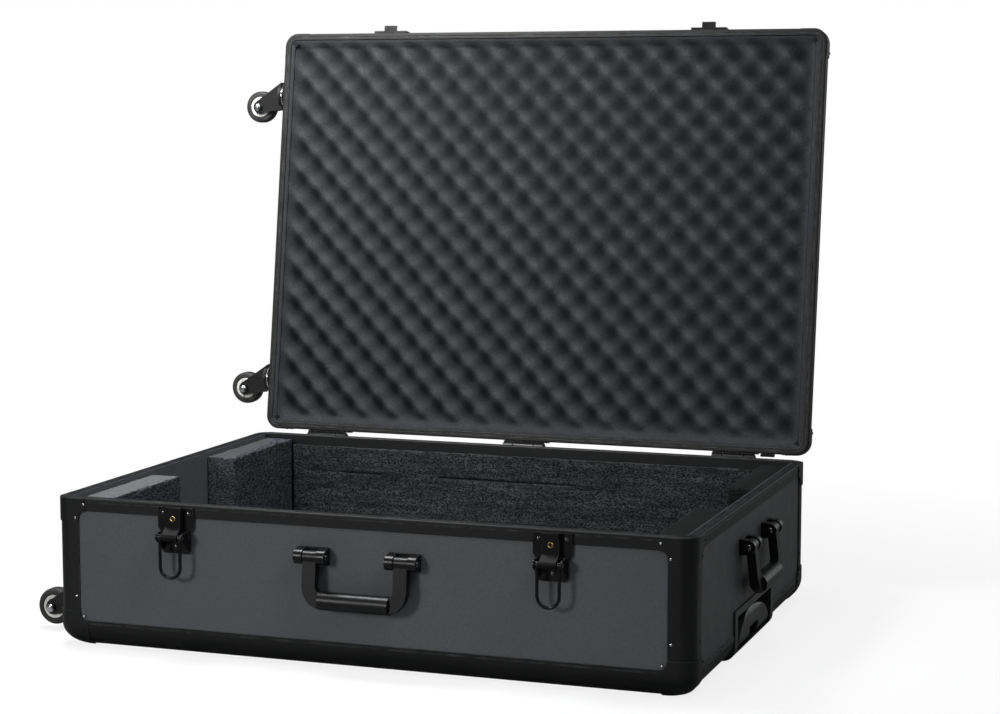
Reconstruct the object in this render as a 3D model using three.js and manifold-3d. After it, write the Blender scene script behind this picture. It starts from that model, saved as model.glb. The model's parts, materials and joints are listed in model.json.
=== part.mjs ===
// Large rolling transport case, modelled with its lid open.
// Millimetres, +Z up. The origin is the centre of the base's footprint, on the floor.
// +X is the long side with the pull handle, -X the end with the casters, -Y the front, +Y the hinges.

import * as THREE from 'three';
import { mergeVertices } from 'three/addons/utils/BufferGeometryUtils.js';
import loadManifold from 'manifold-3d';

const wasm = await loadManifold();
wasm.setup();

// ---------------------------------------------------------------- driving dimensions

const LENGTH = 800;            // outside, along X
const DEPTH = 576;             // outside, along Y
const BASE_HEIGHT = 184;       // floor to the base's rim
const LID_HEIGHT = 45;         // rim of the lid to its outer face
const CORNER_RADIUS = 18;      // upright edges, in plan
const EDGE_RADIUS = 28;        // rounding of the bottom edges and of the lid's outer edges
const GAP = 0.3;               // clearance between neighbouring pieces
const PARTING_GAP = 0.4;       // between the closed rims
const OPEN_ANGLE = 98.35;      // degrees the lid is open at rest

const PANEL = { inset: 1.5, thickness: 6.5 };
const BOTTOM_BAND = 33;        // height of the bottom profile
const RIM_BAND = 16;           // height of the rim profile
const RIM_WIDTH = 13;          // width of the rim's top face
const SKIN = 1.2;              // outer wall of the profiles
const POST_LEG = 31;           // leg of an upright corner profile
const FLANGE = 36;             // how far the profiles reach in under the big panels
const POCKET = 30;             // edge of the big panels, from the outside
const BIG_PANEL = 6.4;         // thickness of the bottom and lid panels
const FRAME_WALL = 10;         // inner face of the bottom profile's walls, from the outside
const FLANGE_DEPTH = 9.7;      // thickness of the bottom and lid flanges
const GROOVE = 3;              // how far the wall panels stand in the bottom profile
const RIM_CAP = 4.6;           // solid top of the rim profile, above the wall panels

const PIN_BEHIND = 10;         // lid hinge pin, behind the back face
const PIN_BELOW = 5;           // lid hinge pin, below the rim
const HINGE_PLACES = { left: -300, middle: 0, right: 300 };

const LATCH_PLACES = { left: -236, right: 236 };
const HANDLE_HEIGHT = 134.5;   // pivot of both carry handles
const CASTER_ROW = 208;        // casters, each side of the middle, along Y
const CASTER_HEIGHT = 45;      // stem of the base casters above the floor
const LID_CASTER_SHIFT = 7;    // the lid's casters sit this much nearer the hinges than the base's
const LID_CASTER_INSET = 4;    // and this much nearer the middle of the case
const LID_CASTER_DEPTH = 22;   // stem of the lid casters, from the lid's rim
const WHEEL_RADIUS = 23;

const X = LENGTH / 2;
const Y = DEPTH / 2;
const RIM_LOW = BASE_HEIGHT - RIM_BAND;
const LID_LOW = BASE_HEIGHT + PARTING_GAP;
const LID_TOP = LID_LOW + LID_HEIGHT;
const PIN = new THREE.Vector3(0, Y + PIN_BEHIND, BASE_HEIGHT - PIN_BELOW);
const OPEN = THREE.MathUtils.degToRad(OPEN_ANGLE);

// ---------------------------------------------------------------- materials

const finish = (color, roughness, metalness) =>
  new THREE.MeshStandardMaterial({ color, roughness, metalness });

const MATERIAL = {
  laminate: finish(0x47484b, 0.6, 0.0),
  profile: finish(0x1d1d1f, 0.42, 0.6),
  cap: finish(0x19191b, 0.35, 0.6),
  hardware: finish(0x121214, 0.3, 0.7),
  plastic: finish(0x1a1a1c, 0.4, 0.0),
  brass: finish(0xb8a468, 0.3, 1.0),
  foam: finish(0x1c1d1f, 0.95, 0.0),
  tyre: finish(0x111112, 0.7, 0.0),
};

// ---------------------------------------------------------------- solids

/** A closed three.js geometry as a solid that can be joined and cut. */
function solid(geometry) {
  const bare = geometry.clone();
  bare.deleteAttribute('normal');
  bare.deleteAttribute('uv');
  const merged = mergeVertices(bare, 1e-4);
  return new wasm.Manifold(new wasm.Mesh({
    numProp: 3,
    vertProperties: new Float32Array(merged.attributes.position.array),
    triVerts: new Uint32Array(merged.index.array),
  }));
}

function geometryOf(body) {
  const mesh = body.getMesh();
  const geometry = new THREE.BufferGeometry();
  geometry.setAttribute('position', new THREE.BufferAttribute(new Float32Array(mesh.vertProperties), 3));
  geometry.setIndex(new THREE.BufferAttribute(new Uint32Array(mesh.triVerts), 1));
  geometry.computeVertexNormals();
  return geometry;
}

function box(x0, x1, y0, y1, z0, z1) {
  const geometry = new THREE.BoxGeometry(Math.abs(x1 - x0), Math.abs(y1 - y0), Math.abs(z1 - z0));
  return solid(geometry.translate((x0 + x1) / 2, (y0 + y1) / 2, (z0 + z1) / 2));
}

/** A cylinder along X, Y or Z from low to high, centred on the other two coordinates. */
function cylinder(axis, radius, low, high, centre, segments = 24) {
  const geometry = new THREE.CylinderGeometry(radius, radius, high - low, segments);
  const middle = (low + high) / 2;
  if (axis === 'x') geometry.rotateZ(Math.PI / 2).translate(middle, centre[0], centre[1]);
  if (axis === 'y') geometry.translate(centre[0], middle, centre[1]);
  if (axis === 'z') geometry.rotateX(Math.PI / 2).translate(centre[0], centre[1], middle);
  return solid(geometry);
}

/** A flat outline extruded along X: the outline's own x and y become Y and Z. */
function slabAlongX(shape, x0, x1, curveSegments = 8) {
  const geometry = new THREE.ExtrudeGeometry(shape, { depth: x1 - x0, bevelEnabled: false, curveSegments });
  geometry.rotateY(Math.PI / 2).rotateX(Math.PI / 2);
  return solid(geometry.translate(x0, 0, 0));
}

/** A flat outline in X and Z, extruded along Y from y0 to y1. */
function slabAlongY(shape, y0, y1, curveSegments = 8) {
  const geometry = new THREE.ExtrudeGeometry(shape, { depth: y1 - y0, bevelEnabled: false, curveSegments });
  geometry.rotateX(Math.PI / 2);
  return solid(geometry.translate(0, y1, 0));
}

/** A flat outline in X and Y, extruded upwards from z0 to z1. */
function slabAlongZ(shape, z0, z1, curveSegments = 8) {
  const geometry = new THREE.ExtrudeGeometry(shape, { depth: z1 - z0, bevelEnabled: false, curveSegments });
  return solid(geometry.translate(0, 0, z0));
}

function polygon(points) {
  return new THREE.Shape(points.map(([x, y]) => new THREE.Vector2(x, y)));
}

/** The outline round two circles and their outer tangents. */
function taperedOutline(c1, r1, c2, r2) {
  const along = Math.atan2(c2[1] - c1[1], c2[0] - c1[0]);
  const side = Math.acos((r1 - r2) / Math.hypot(c2[0] - c1[0], c2[1] - c1[1]));
  const shape = new THREE.Shape();
  shape.absarc(c1[0], c1[1], r1, along + side, along - side + 2 * Math.PI, false);
  shape.absarc(c2[0], c2[1], r2, along - side, along + side, false);
  return shape;
}

const join = (...bodies) => bodies.reduce((all, body) => all.add(body));

const cut = (body, ...tools) => tools.reduce((left, tool) => left.subtract(tool), body);

// ---------------------------------------------------------------- lofted case shapes

/** The case's plan outline, moved inwards by inset. */
function planOutline(inset, radius, steps) {
  const points = [];
  const halfX = X - inset - radius;
  const halfY = Y - inset - radius;
  const centres = [[halfX, halfY], [-halfX, halfY], [-halfX, -halfY], [halfX, -halfY]];
  centres.forEach(([cx, cy], quarter) => {
    for (let k = 0; k <= steps; k += 1) {
      const turn = (quarter + k / steps) * Math.PI / 2;
      points.push([cx + radius * Math.cos(turn), cy + radius * Math.sin(turn)]);
    }
  });
  return points;
}

/** A closed body through plan outlines, given from the lowest up as { z, inset, radius }. */
function loft(levels, steps = 4) {
  const rings = levels.map(({ z, inset, radius }) =>
    planOutline(inset, radius, steps).map(([x, y]) => [x, y, z]));
  const count = rings[0].length;
  const positions = [...rings.flat(), [0, 0, levels[0].z], [0, 0, levels[levels.length - 1].z]];
  const foot = positions.length - 2;
  const head = positions.length - 1;
  const triangles = [];
  for (let k = 0; k < count; k += 1) {
    const next = (k + 1) % count;
    triangles.push(foot, next, k);
    triangles.push(head, (rings.length - 1) * count + k, (rings.length - 1) * count + next);
    for (let r = 0; r + 1 < rings.length; r += 1) {
      const a = r * count;
      const b = a + count;
      triangles.push(a + k, a + next, b + next);
      triangles.push(a + k, b + next, b + k);
    }
  }
  const geometry = new THREE.BufferGeometry();
  geometry.setAttribute('position', new THREE.Float32BufferAttribute(positions.flat(), 3));
  geometry.setIndex(triangles);
  return solid(geometry);
}

const plainLoft = (inset, z0, z1, radius = Math.max(CORNER_RADIUS - inset, 2)) =>
  loft([{ z: z0, inset, radius }, { z: z1, inset, radius }]);

const ring = (outer, inner, z0, z1) =>
  cut(plainLoft(outer, z0, z1), plainLoft(inner, z0 - 1, z1 + 1));

/** Levels of the rounded edge, as height above the flat face; grow moves the surface outwards. */
function edgeLevels(grow, steps = 5) {
  const levels = [];
  for (let k = 0; k <= steps; k += 1) {
    const turn = (1 - k / steps) * Math.PI / 2;
    levels.push({
      z: EDGE_RADIUS - (EDGE_RADIUS + grow) * Math.sin(turn),
      inset: EDGE_RADIUS - (EDGE_RADIUS + grow) * Math.cos(turn),
      radius: CORNER_RADIUS + grow,
    });
  }
  return levels;
}

/** The base's outside up to height top, grown outwards by grow. */
const baseOutside = (grow, top, steps) =>
  loft([...edgeLevels(grow), { z: top, inset: -grow, radius: CORNER_RADIUS + grow }], steps);

/** The closed lid's outside, grown outwards by grow, with a small chamfer at its rim. */
function lidOutside(grow) {
  const chamfer = 1.2;
  const rounded = edgeLevels(grow).map((level) => ({ ...level, z: LID_TOP - level.z })).reverse();
  return loft([
    { z: LID_LOW, inset: chamfer - grow, radius: CORNER_RADIUS + grow - chamfer },
    { z: LID_LOW + chamfer, inset: -grow, radius: CORNER_RADIUS + grow },
    ...rounded,
  ]);
}

// ---------------------------------------------------------------- assembly

const transportCase = new THREE.Group();
transportCase.name = 'transport_case';

const lid = new THREE.Group();
lid.position.copy(PIN);
lid.rotation.x = -OPEN;
transportCase.add(lid);

/** Adds a named piece made of a solid; lid pieces are drawn closed and swing with the lid's group. */
function addPiece(group, name, body, material) {
  const geometry = geometryOf(body);
  if (group === lid) geometry.translate(-PIN.x, -PIN.y, -PIN.z);
  const mesh = new THREE.Mesh(geometry, material);
  mesh.name = name;
  group.add(mesh);
}

// ---------------------------------------------------------------- trolley sizes, shared by its neighbours

const TROLLEY = {
  halfWidth: 100, low: 1, high: 61, back: 372, front: X + 1.2, round: 16,
  recessHalf: 88, recessLow: 8, recessHigh: 53, recessBack: 378,
  rodY: 55, rodZ: 18.5, rodRadius: 6, rodStart: -20, rodEnd: 384,
};

const trolleyRoom = () => box(
  TROLLEY.back - GAP, X + 5,
  -TROLLEY.halfWidth - GAP, TROLLEY.halfWidth + GAP,
  -2, TROLLEY.high + GAP,
);

// ---------------------------------------------------------------- base shell

function buildBaseShell() {
  const panelIn = PANEL.inset + PANEL.thickness;
  const low = BOTTOM_BAND - GROOVE;
  const high = BASE_HEIGHT - RIM_CAP;
  const longEnd = X - CORNER_RADIUS;
  const shortEnd = Y - CORNER_RADIUS;

  const bottomFrame = cut(
    baseOutside(0, BOTTOM_BAND),
    plainLoft(FRAME_WALL, FLANGE_DEPTH, BOTTOM_BAND + 1),
    plainLoft(FLANGE, BIG_PANEL, FLANGE_DEPTH + 1, 2),
    plainLoft(POCKET, -1, BIG_PANEL + GAP, 2),
    ring(SKIN, panelIn + GAP, low - GAP, BOTTOM_BAND + 1),
    trolleyRoom(),
  );
  addPiece(transportCase, 'bottom_frame', bottomFrame, MATERIAL.profile);

  const bottomPanel = plainLoft(POCKET + GAP, 0, BIG_PANEL, 2);
  addPiece(transportCase, 'bottom_panel', bottomPanel, MATERIAL.laminate);

  const rimTop = loft([
    { z: RIM_LOW, inset: 0, radius: CORNER_RADIUS },
    { z: BASE_HEIGHT - 1.4, inset: 0, radius: CORNER_RADIUS },
    { z: BASE_HEIGHT - 0.4, inset: 0.4, radius: CORNER_RADIUS - 0.4 },
    { z: BASE_HEIGHT, inset: 1.4, radius: CORNER_RADIUS - 1.4 },
  ]);
  const rimFrame = cut(
    rimTop,
    plainLoft(RIM_WIDTH, RIM_LOW - 1, BASE_HEIGHT + 1),
    ring(SKIN, panelIn + GAP, RIM_LOW - 1, high + GAP),
  );
  addPiece(transportCase, 'rim_frame', rimFrame, MATERIAL.profile);

  const walls = {
    front_panel: box(-longEnd, longEnd, -Y + PANEL.inset, -Y + panelIn, low, high),
    back_panel: box(-longEnd, longEnd, Y - panelIn, Y - PANEL.inset, low, high),
    left_panel: box(-X + PANEL.inset, -X + panelIn, -shortEnd, shortEnd, low, high),
    right_panel: cut(
      box(X - panelIn, X - PANEL.inset, -shortEnd, shortEnd, low, high),
      trolleyRoom(),
    ),
  };
  Object.entries(walls).forEach(([name, body]) => addPiece(transportCase, name, body, MATERIAL.laminate));
}

/** The section of an upright corner profile, with its sharp outer corner at the origin. */
function postOutline() {
  const r = CORNER_RADIUS;
  const inner = 9.6;
  const end = r - GAP;
  const shape = new THREE.Shape();
  shape.moveTo(POST_LEG, 0);
  shape.lineTo(POST_LEG, SKIN);
  shape.lineTo(end, SKIN);
  shape.lineTo(end, r - inner);
  shape.absarc(r, r, inner, -Math.PI / 2, -Math.PI, true);
  shape.lineTo(r - inner, end);
  shape.lineTo(SKIN, end);
  shape.lineTo(SKIN, POST_LEG);
  shape.lineTo(0, POST_LEG);
  shape.lineTo(0, r);
  shape.absarc(r, r, r, Math.PI, 1.5 * Math.PI, false);
  return shape;
}

const CORNERS = {
  front_left: { sx: -1, sy: -1, turn: 0 },
  front_right: { sx: 1, sy: -1, turn: Math.PI / 2 },
  back_right: { sx: 1, sy: 1, turn: Math.PI },
  back_left: { sx: -1, sy: 1, turn: -Math.PI / 2 },
};

function buildPosts() {
  const z0 = BOTTOM_BAND + GAP;
  const height = RIM_LOW - GAP - z0;
  const outline = postOutline();
  Object.entries(CORNERS).forEach(([corner, { sx, sy, turn }]) => {
    const options = { depth: height, bevelEnabled: false, curveSegments: 4 };
    const geometry = new THREE.ExtrudeGeometry(outline, options);
    geometry.rotateZ(turn).translate(sx * X, sy * Y, z0);
    addPiece(transportCase, `corner_post_${corner}`, solid(geometry), MATERIAL.profile);
  });
}

/**
 * The region of one corner that a riveted corner cap covers: arms of the given width that run
 * along the edge profile and up the post, joined by a sloped gusset.
 */
function capRegion(sx, sy, reach, arm, bandEdge, capEdge, away) {
  const gusset = 9;
  const profile = (half, sign) => polygon([
    [sign * (half + 5), away],
    [sign * (half - reach), away],
    [sign * (half - reach), bandEdge],
    [sign * (half - arm - gusset * 0.3), bandEdge + Math.sign(capEdge - bandEdge) * gusset * 0.3],
    [sign * (half - arm), bandEdge + Math.sign(capEdge - bandEdge) * gusset],
    [sign * (half - arm), capEdge],
    [sign * (half + 5), capEdge],
  ]);
  const front = slabAlongY(profile(X, sx), Math.min(sy * (Y - reach), sy * (Y + 5)),
    Math.max(sy * (Y - reach), sy * (Y + 5)));
  const side = slabAlongX(profile(Y, sy), Math.min(sx * (X - reach), sx * (X + 5)),
    Math.max(sx * (X - reach), sx * (X + 5)));
  return front.intersect(side);
}

const CAP_THICKNESS = 1.1;

function buildCornerCaps() {
  const reach = 41;
  const top = 45;
  const steps = 8;
  const shell = cut(baseOutside(GAP + CAP_THICKNESS, 60, steps), baseOutside(GAP, 61, steps));
  Object.entries(CORNERS).forEach(([corner, { sx, sy }]) => {
    const body = shell.intersect(capRegion(sx, sy, reach, POST_LEG, BOTTOM_BAND, top, GAP));
    addPiece(transportCase, `corner_cap_${corner}`, body, MATERIAL.cap);
  });
}

// ---------------------------------------------------------------- foam insert of the base

const FOAM = {
  inset: RIM_WIDTH + 0.5, low: 30, floor: 50, top: 178, wallTop: 171,
  sideWall: 344, frontWall: Y - 22, notchFront: -70, notchBack: 85, cornerRadius: 12,
};

function buildFoamTray() {
  const well = new THREE.Shape();
  const r = FOAM.cornerRadius;
  const wx = FOAM.sideWall;
  const wy = FOAM.frontWall;
  well.moveTo(-wx + r, -wy);
  well.lineTo(wx - r, -wy);
  well.absarc(wx - r, -wy + r, r, -Math.PI / 2, 0, false);
  well.lineTo(wx, wy - r);
  well.absarc(wx - r, wy - r, r, 0, Math.PI / 2, false);
  well.lineTo(-wx + r, wy);
  well.absarc(-wx + r, wy - r, r, Math.PI / 2, Math.PI, false);
  well.lineTo(-wx, -wy + r);
  well.absarc(-wx + r, -wy + r, r, Math.PI, 1.5 * Math.PI, false);

  const tray = cut(
    plainLoft(FOAM.inset, FOAM.low, FOAM.top),
    slabAlongZ(well, FOAM.floor, FOAM.top + 1, 4),
    box(-X, X, FOAM.notchFront, FOAM.notchBack, FOAM.floor, FOAM.top + 1),
    box(-wx, wx, -Y, Y, FOAM.wallTop, FOAM.top + 1),
    box(TROLLEY.back - 2, X, -TROLLEY.halfWidth - 3, TROLLEY.halfWidth + 3, 0, TROLLEY.high + 3),
  );
  addPiece(transportCase, 'foam_tray', tray, MATERIAL.foam);
}

// ---------------------------------------------------------------- lid

function buildLid() {
  const opening = plainLoft(RIM_WIDTH, LID_LOW - 1, LID_TOP - FLANGE_DEPTH);
  const throat = plainLoft(FLANGE, LID_TOP - FLANGE_DEPTH - 1, LID_TOP - BIG_PANEL, 2);
  const pocket = plainLoft(POCKET, LID_TOP - BIG_PANEL - GAP, LID_TOP + 1, 2);
  addPiece(lid, 'lid_frame', cut(lidOutside(0), opening, throat, pocket), MATERIAL.profile);

  addPiece(lid, 'lid_panel', plainLoft(POCKET + GAP, LID_TOP - BIG_PANEL, LID_TOP, 2), MATERIAL.laminate);

  const liner = plainLoft(RIM_WIDTH + 0.5, LID_LOW + 1.5, LID_TOP - FLANGE_DEPTH - 0.5);
  addPiece(lid, 'lid_foam', liner, MATERIAL.foam);

  const reach = 36;
  const shell = cut(lidOutside(GAP + CAP_THICKNESS), lidOutside(GAP));
  Object.entries(CORNERS).forEach(([corner, { sx, sy }]) => {
    const [xSpan, ySpan] = [[sx * (X - reach), sx * (X + 5)], [sy * (Y - reach), sy * (Y + 5)]];
    const region = box(...xSpan, ...ySpan, LID_LOW + 2, LID_TOP - GAP);
    addPiece(lid, `lid_corner_${corner}`, shell.intersect(region), MATERIAL.cap);
  });
}

// ---------------------------------------------------------------- hinges

function buildHinges() {
  const halfWidth = 30;
  const split = 15.2;
  const knuckle = 4;
  const pin = [PIN.y, PIN.z];
  const face = Y + GAP;
  const leaf = 2.1;
  Object.entries(HINGE_PLACES).forEach(([place, x]) => {
    const baseArm = taperedOutline([face + leaf - 1, PIN.z - 11], 1, pin, knuckle);
    const arms = [[-halfWidth, -split - GAP], [split + GAP, halfWidth]]
      .map(([x0, x1]) => slabAlongX(baseArm, x + x0, x + x1, 4));
    const baseLeaf = join(
      box(x - halfWidth, x + halfWidth, face, face + leaf, BASE_HEIGHT - 40, BASE_HEIGHT - 9),
      ...arms,
      cylinder('x', 2, x - halfWidth, x + halfWidth, pin, 16),
    );
    addPiece(transportCase, `hinge_base_leaf_${place}`, baseLeaf, MATERIAL.hardware);

    const lidArm = taperedOutline([face + 1, LID_LOW + 7], 1, pin, knuckle);
    const lidLeaf = cut(
      join(
        box(x - halfWidth, x + halfWidth, face, face + leaf, LID_LOW + 6, LID_LOW + 16.5),
        slabAlongX(lidArm, x - split, x + split, 5),
      ),
      cylinder('x', 2.35, x - halfWidth, x + halfWidth, pin, 16),
    );
    addPiece(lid, `hinge_lid_leaf_${place}`, lidLeaf, MATERIAL.hardware);
  });
}

// ---------------------------------------------------------------- draw latches

// Places on a latch: out is measured from the case's front face, z from the floor.
const LATCH = {
  pinOut: 18, pinZ: 147, pinRadius: 1.5, boreRadius: 1.85,
  plateHalf: 23.5, plateLowHalf: 19.3, plateTop: 180.5, shoulderTop: 155.5, shoulderLow: 150,
  plateLow: 125, plateThick: 2.2, earIn: 15.4, earOut: 17.2,
  leverHalf: 10, boxOut: 10, boxLow: 157, boxTop: 181, keyZ: 168, keyRadius: 3.4,
  wire: 1.8, wireHalf: 12.9, bailLength: 49.5,
};

const out = (distance) => -Y - distance;

function latchPlate(x) {
  const L = LATCH;
  const r = 6;
  const shape = new THREE.Shape();
  shape.moveTo(x - L.plateHalf, L.plateTop);
  shape.lineTo(x - L.plateHalf, L.shoulderTop);
  shape.lineTo(x - L.plateLowHalf, L.shoulderLow);
  shape.lineTo(x - L.plateLowHalf, L.plateLow + r);
  shape.absarc(x - L.plateLowHalf + r, L.plateLow + r, r, Math.PI, 1.5 * Math.PI, false);
  shape.lineTo(x + L.plateLowHalf - r, L.plateLow);
  shape.absarc(x + L.plateLowHalf - r, L.plateLow + r, r, 1.5 * Math.PI, 2 * Math.PI, false);
  shape.lineTo(x + L.plateLowHalf, L.shoulderLow);
  shape.lineTo(x + L.plateHalf, L.shoulderTop);
  shape.lineTo(x + L.plateHalf, L.plateTop);
  const plate = slabAlongY(shape, out(GAP + L.plateThick), out(GAP), 5);

  const ear = new THREE.Shape();
  ear.moveTo(out(1), L.pinZ + 6);
  ear.lineTo(out(1), L.plateLow + 3);
  ear.lineTo(out(L.pinOut + 2.5), L.pinZ - 4.33);
  ear.absarc(out(L.pinOut), L.pinZ, 5, 1.33 * Math.PI, Math.PI / 2, true);
  const ears = [[-L.earOut, -L.earIn], [L.earIn, L.earOut]]
    .map(([x0, x1]) => slabAlongX(ear, x + x0, x + x1));
  const pin = cylinder('x', L.pinRadius, x - L.earOut, x + L.earOut, [out(L.pinOut), L.pinZ], 12);
  return join(plate, ...ears.map((body) => body.subtract(box(x - 20, x + 20, out(GAP), 0, 100, 190))), pin);
}

function latchLever(x) {
  const L = LATCH;
  const back = out(GAP + L.plateThick + GAP);
  const side = new THREE.Shape();
  side.moveTo(back, L.boxTop);
  side.lineTo(out(L.boxOut), L.boxTop);
  side.lineTo(out(L.boxOut), L.boxLow);
  side.lineTo(out(L.pinOut + 2.5), L.pinZ + 3.9);
  side.absarc(out(L.pinOut), L.pinZ, 4.6, 0.68 * Math.PI, 1.75 * Math.PI, false);
  side.lineTo(back, L.boxLow - 3);
  const pinBore = cylinder('x', L.boreRadius, x - 20, x + 20, [out(L.pinOut), L.pinZ], 14);
  const keyBore = cylinder('y', L.keyRadius + GAP, out(L.boxOut + 1), out(4.2 - GAP), [x, L.keyZ], 16);
  return cut(slabAlongX(side, x - L.leverHalf, x + L.leverHalf), pinBore, keyBore);
}

function latchKey(x) {
  const L = LATCH;
  const barrel = cylinder('y', L.keyRadius, out(L.boxOut + 0.6), out(4.2), [x, L.keyZ], 16);
  const slot = box(x - 0.6, x + 0.6, out(L.boxOut + 1), out(L.boxOut - 0.6), L.keyZ - 2.2, L.keyZ + 2.2);
  return barrel.subtract(slot);
}

function latchBail(x) {
  const L = LATCH;
  const low = L.pinZ - L.bailLength + L.wireHalf;
  const turns = 8;
  const stops = [[-L.wireHalf, L.pinZ]];
  for (let k = 0; k <= turns; k += 1) {
    const angle = Math.PI * (1 + k / turns);
    stops.push([L.wireHalf * Math.cos(angle), low + L.wireHalf * Math.sin(angle)]);
  }
  stops.push([L.wireHalf, L.pinZ]);
  const curve = new THREE.CatmullRomCurve3(
    stops.map(([dx, z]) => new THREE.Vector3(x + dx, out(L.pinOut), z)), false, 'centripetal');
  const section = new THREE.Shape().absarc(0, 0, L.wire, 0, 2 * Math.PI, false);
  const wire = solid(new THREE.ExtrudeGeometry(section, {
    steps: 18, curveSegments: 3, bevelEnabled: false, extrudePath: curve,
  }));
  const eyes = [-1, 1].map((side) => cylinder('x', 3.3,
    x + side * L.wireHalf - L.wire, x + side * L.wireHalf + L.wire, [out(L.pinOut), L.pinZ], 12));
  const bore = cylinder('x', L.boreRadius, x - 20, x + 20, [out(L.pinOut), L.pinZ], 14);
  return cut(join(wire, ...eyes), bore);
}

/** The hook on the lid that the wire bail catches behind. */
function lidCatch(x) {
  const L = LATCH;
  const plateHalf = 25;
  const hookHalf = 9.6;
  const bailCentre = L.pinZ + 36;
  const lip = new THREE.Shape();
  const reach = 10;
  const start = Math.acos(hookHalf / reach);
  lip.moveTo(x - hookHalf, LID_LOW + 1);
  lip.lineTo(x + hookHalf, LID_LOW + 1);
  lip.absarc(x, bailCentre, reach, start, Math.PI - start, false);
  return join(
    box(x - plateHalf, x + plateHalf, out(GAP + 3.6), out(GAP), LID_LOW + 1, LID_LOW + 14),
    box(x - hookHalf, x + hookHalf, out(11.5), out(GAP + 3), LID_LOW + 1, LID_LOW + 2.8),
    slabAlongY(lip, out(11.5), out(9), 12),
  );
}

function buildLatches() {
  Object.entries(LATCH_PLACES).forEach(([side, x]) => {
    addPiece(transportCase, `latch_plate_${side}`, latchPlate(x), MATERIAL.hardware);
    addPiece(transportCase, `latch_lever_${side}`, latchLever(x), MATERIAL.hardware);
    addPiece(transportCase, `latch_key_${side}`, latchKey(x), MATERIAL.brass);
    addPiece(transportCase, `latch_bail_${side}`, latchBail(x), MATERIAL.hardware);
    addPiece(lid, `lid_catch_${side}`, lidCatch(x), MATERIAL.hardware);
  });
}

// ---------------------------------------------------------------- carry handles

// Handle pieces are drawn on a wall in the XZ plane that faces -Y, with the pivot at height 0.
const HANDLE = {
  bracketPlace: 57, bracketHalf: 19.5, slotHalf: 8.8, barrelOut: 9.5, barrelRadius: 9,
  pinRadius: 3, boreRadius: 3.4, knuckleHalf: 8.4, knuckleRadius: 7.6,
  armThick: 11, gripDrop: 50, gripRadius: 11, gripHalf: 44, tilt: 6.5, outerCorner: 26,
};

function handleBracket(side) {
  const H = HANDLE;
  const x = side * H.bracketPlace;
  const back = PANEL.inset - GAP;
  const profile = new THREE.Shape();
  profile.moveTo(back, -H.barrelRadius - 1);
  profile.lineTo(back, H.barrelRadius + 1);
  profile.lineTo(-H.barrelOut, H.barrelRadius);
  profile.absarc(-H.barrelOut, 0, H.barrelRadius, Math.PI / 2, 1.5 * Math.PI, false);
  const slot = box(x - H.slotHalf, x + H.slotHalf, -30, -1.2, -20, 20);
  const pin = cylinder('x', H.pinRadius, x - H.bracketHalf, x + H.bracketHalf, [-H.barrelOut, 0], 10);
  return join(slabAlongX(profile, x - H.bracketHalf, x + H.bracketHalf, 5).subtract(slot), pin);
}

function handleLoop() {
  const H = HANDLE;
  const outer = H.bracketPlace + H.knuckleHalf;
  const inner = H.bracketPlace - H.knuckleHalf;
  const low = -H.gripDrop - H.gripRadius + 1;
  const bend = H.outerCorner;
  const arms = [-1, 1].map((side) => {
    const shape = new THREE.Shape();
    shape.moveTo(side * outer, 0);
    shape.lineTo(side * outer, low + bend);
    for (let k = 1; k <= 6; k += 1) {
      const turn = k / 6 * Math.PI / 2;
      shape.lineTo(side * (outer - bend + bend * Math.cos(turn)), low + bend - bend * Math.sin(turn));
    }
    shape.lineTo(side * (H.gripHalf - 8), low);
    shape.lineTo(side * (H.gripHalf - 8), -H.gripDrop + H.gripRadius - 1);
    shape.lineTo(side * (inner - 3), -H.gripDrop + H.gripRadius - 1);
    shape.lineTo(side * inner, -H.gripDrop + H.gripRadius + 4);
    shape.lineTo(side * inner, 0);
    return slabAlongY(shape, -H.armThick / 2, H.armThick / 2);
  });
  const knuckles = [-1, 1].map((side) => cylinder('x', H.knuckleRadius,
    side * H.bracketPlace - H.knuckleHalf, side * H.bracketPlace + H.knuckleHalf, [0, 0], 16));
  const grip = cylinder('x', H.gripRadius, -H.gripHalf, H.gripHalf, [0, -H.gripDrop], 20);
  const bore = cylinder('x', H.boreRadius, -outer - 1, outer + 1, [0, 0], 12);
  const wallRoom = box(-outer - 1, outer + 1, 8, 20, -20, 20);
  const loop = cut(join(...arms, ...knuckles, grip), bore, wallRoom);
  const geometry = geometryOf(loop);
  geometry.rotateX(-THREE.MathUtils.degToRad(H.tilt)).translate(0, -H.barrelOut, 0);
  return solid(geometry);
}

function buildCarryHandle(name, x, y, turn) {
  const wall = new THREE.Group();
  wall.position.set(x, y, HANDLE_HEIGHT);
  wall.rotation.z = turn;
  transportCase.add(wall);
  addPiece(wall, `${name}_bracket_a`, handleBracket(-1), MATERIAL.hardware);
  addPiece(wall, `${name}_bracket_b`, handleBracket(1), MATERIAL.hardware);
  addPiece(wall, `${name}_loop`, handleLoop(), MATERIAL.plastic);
}

// ---------------------------------------------------------------- pull-out trolley handle

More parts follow.
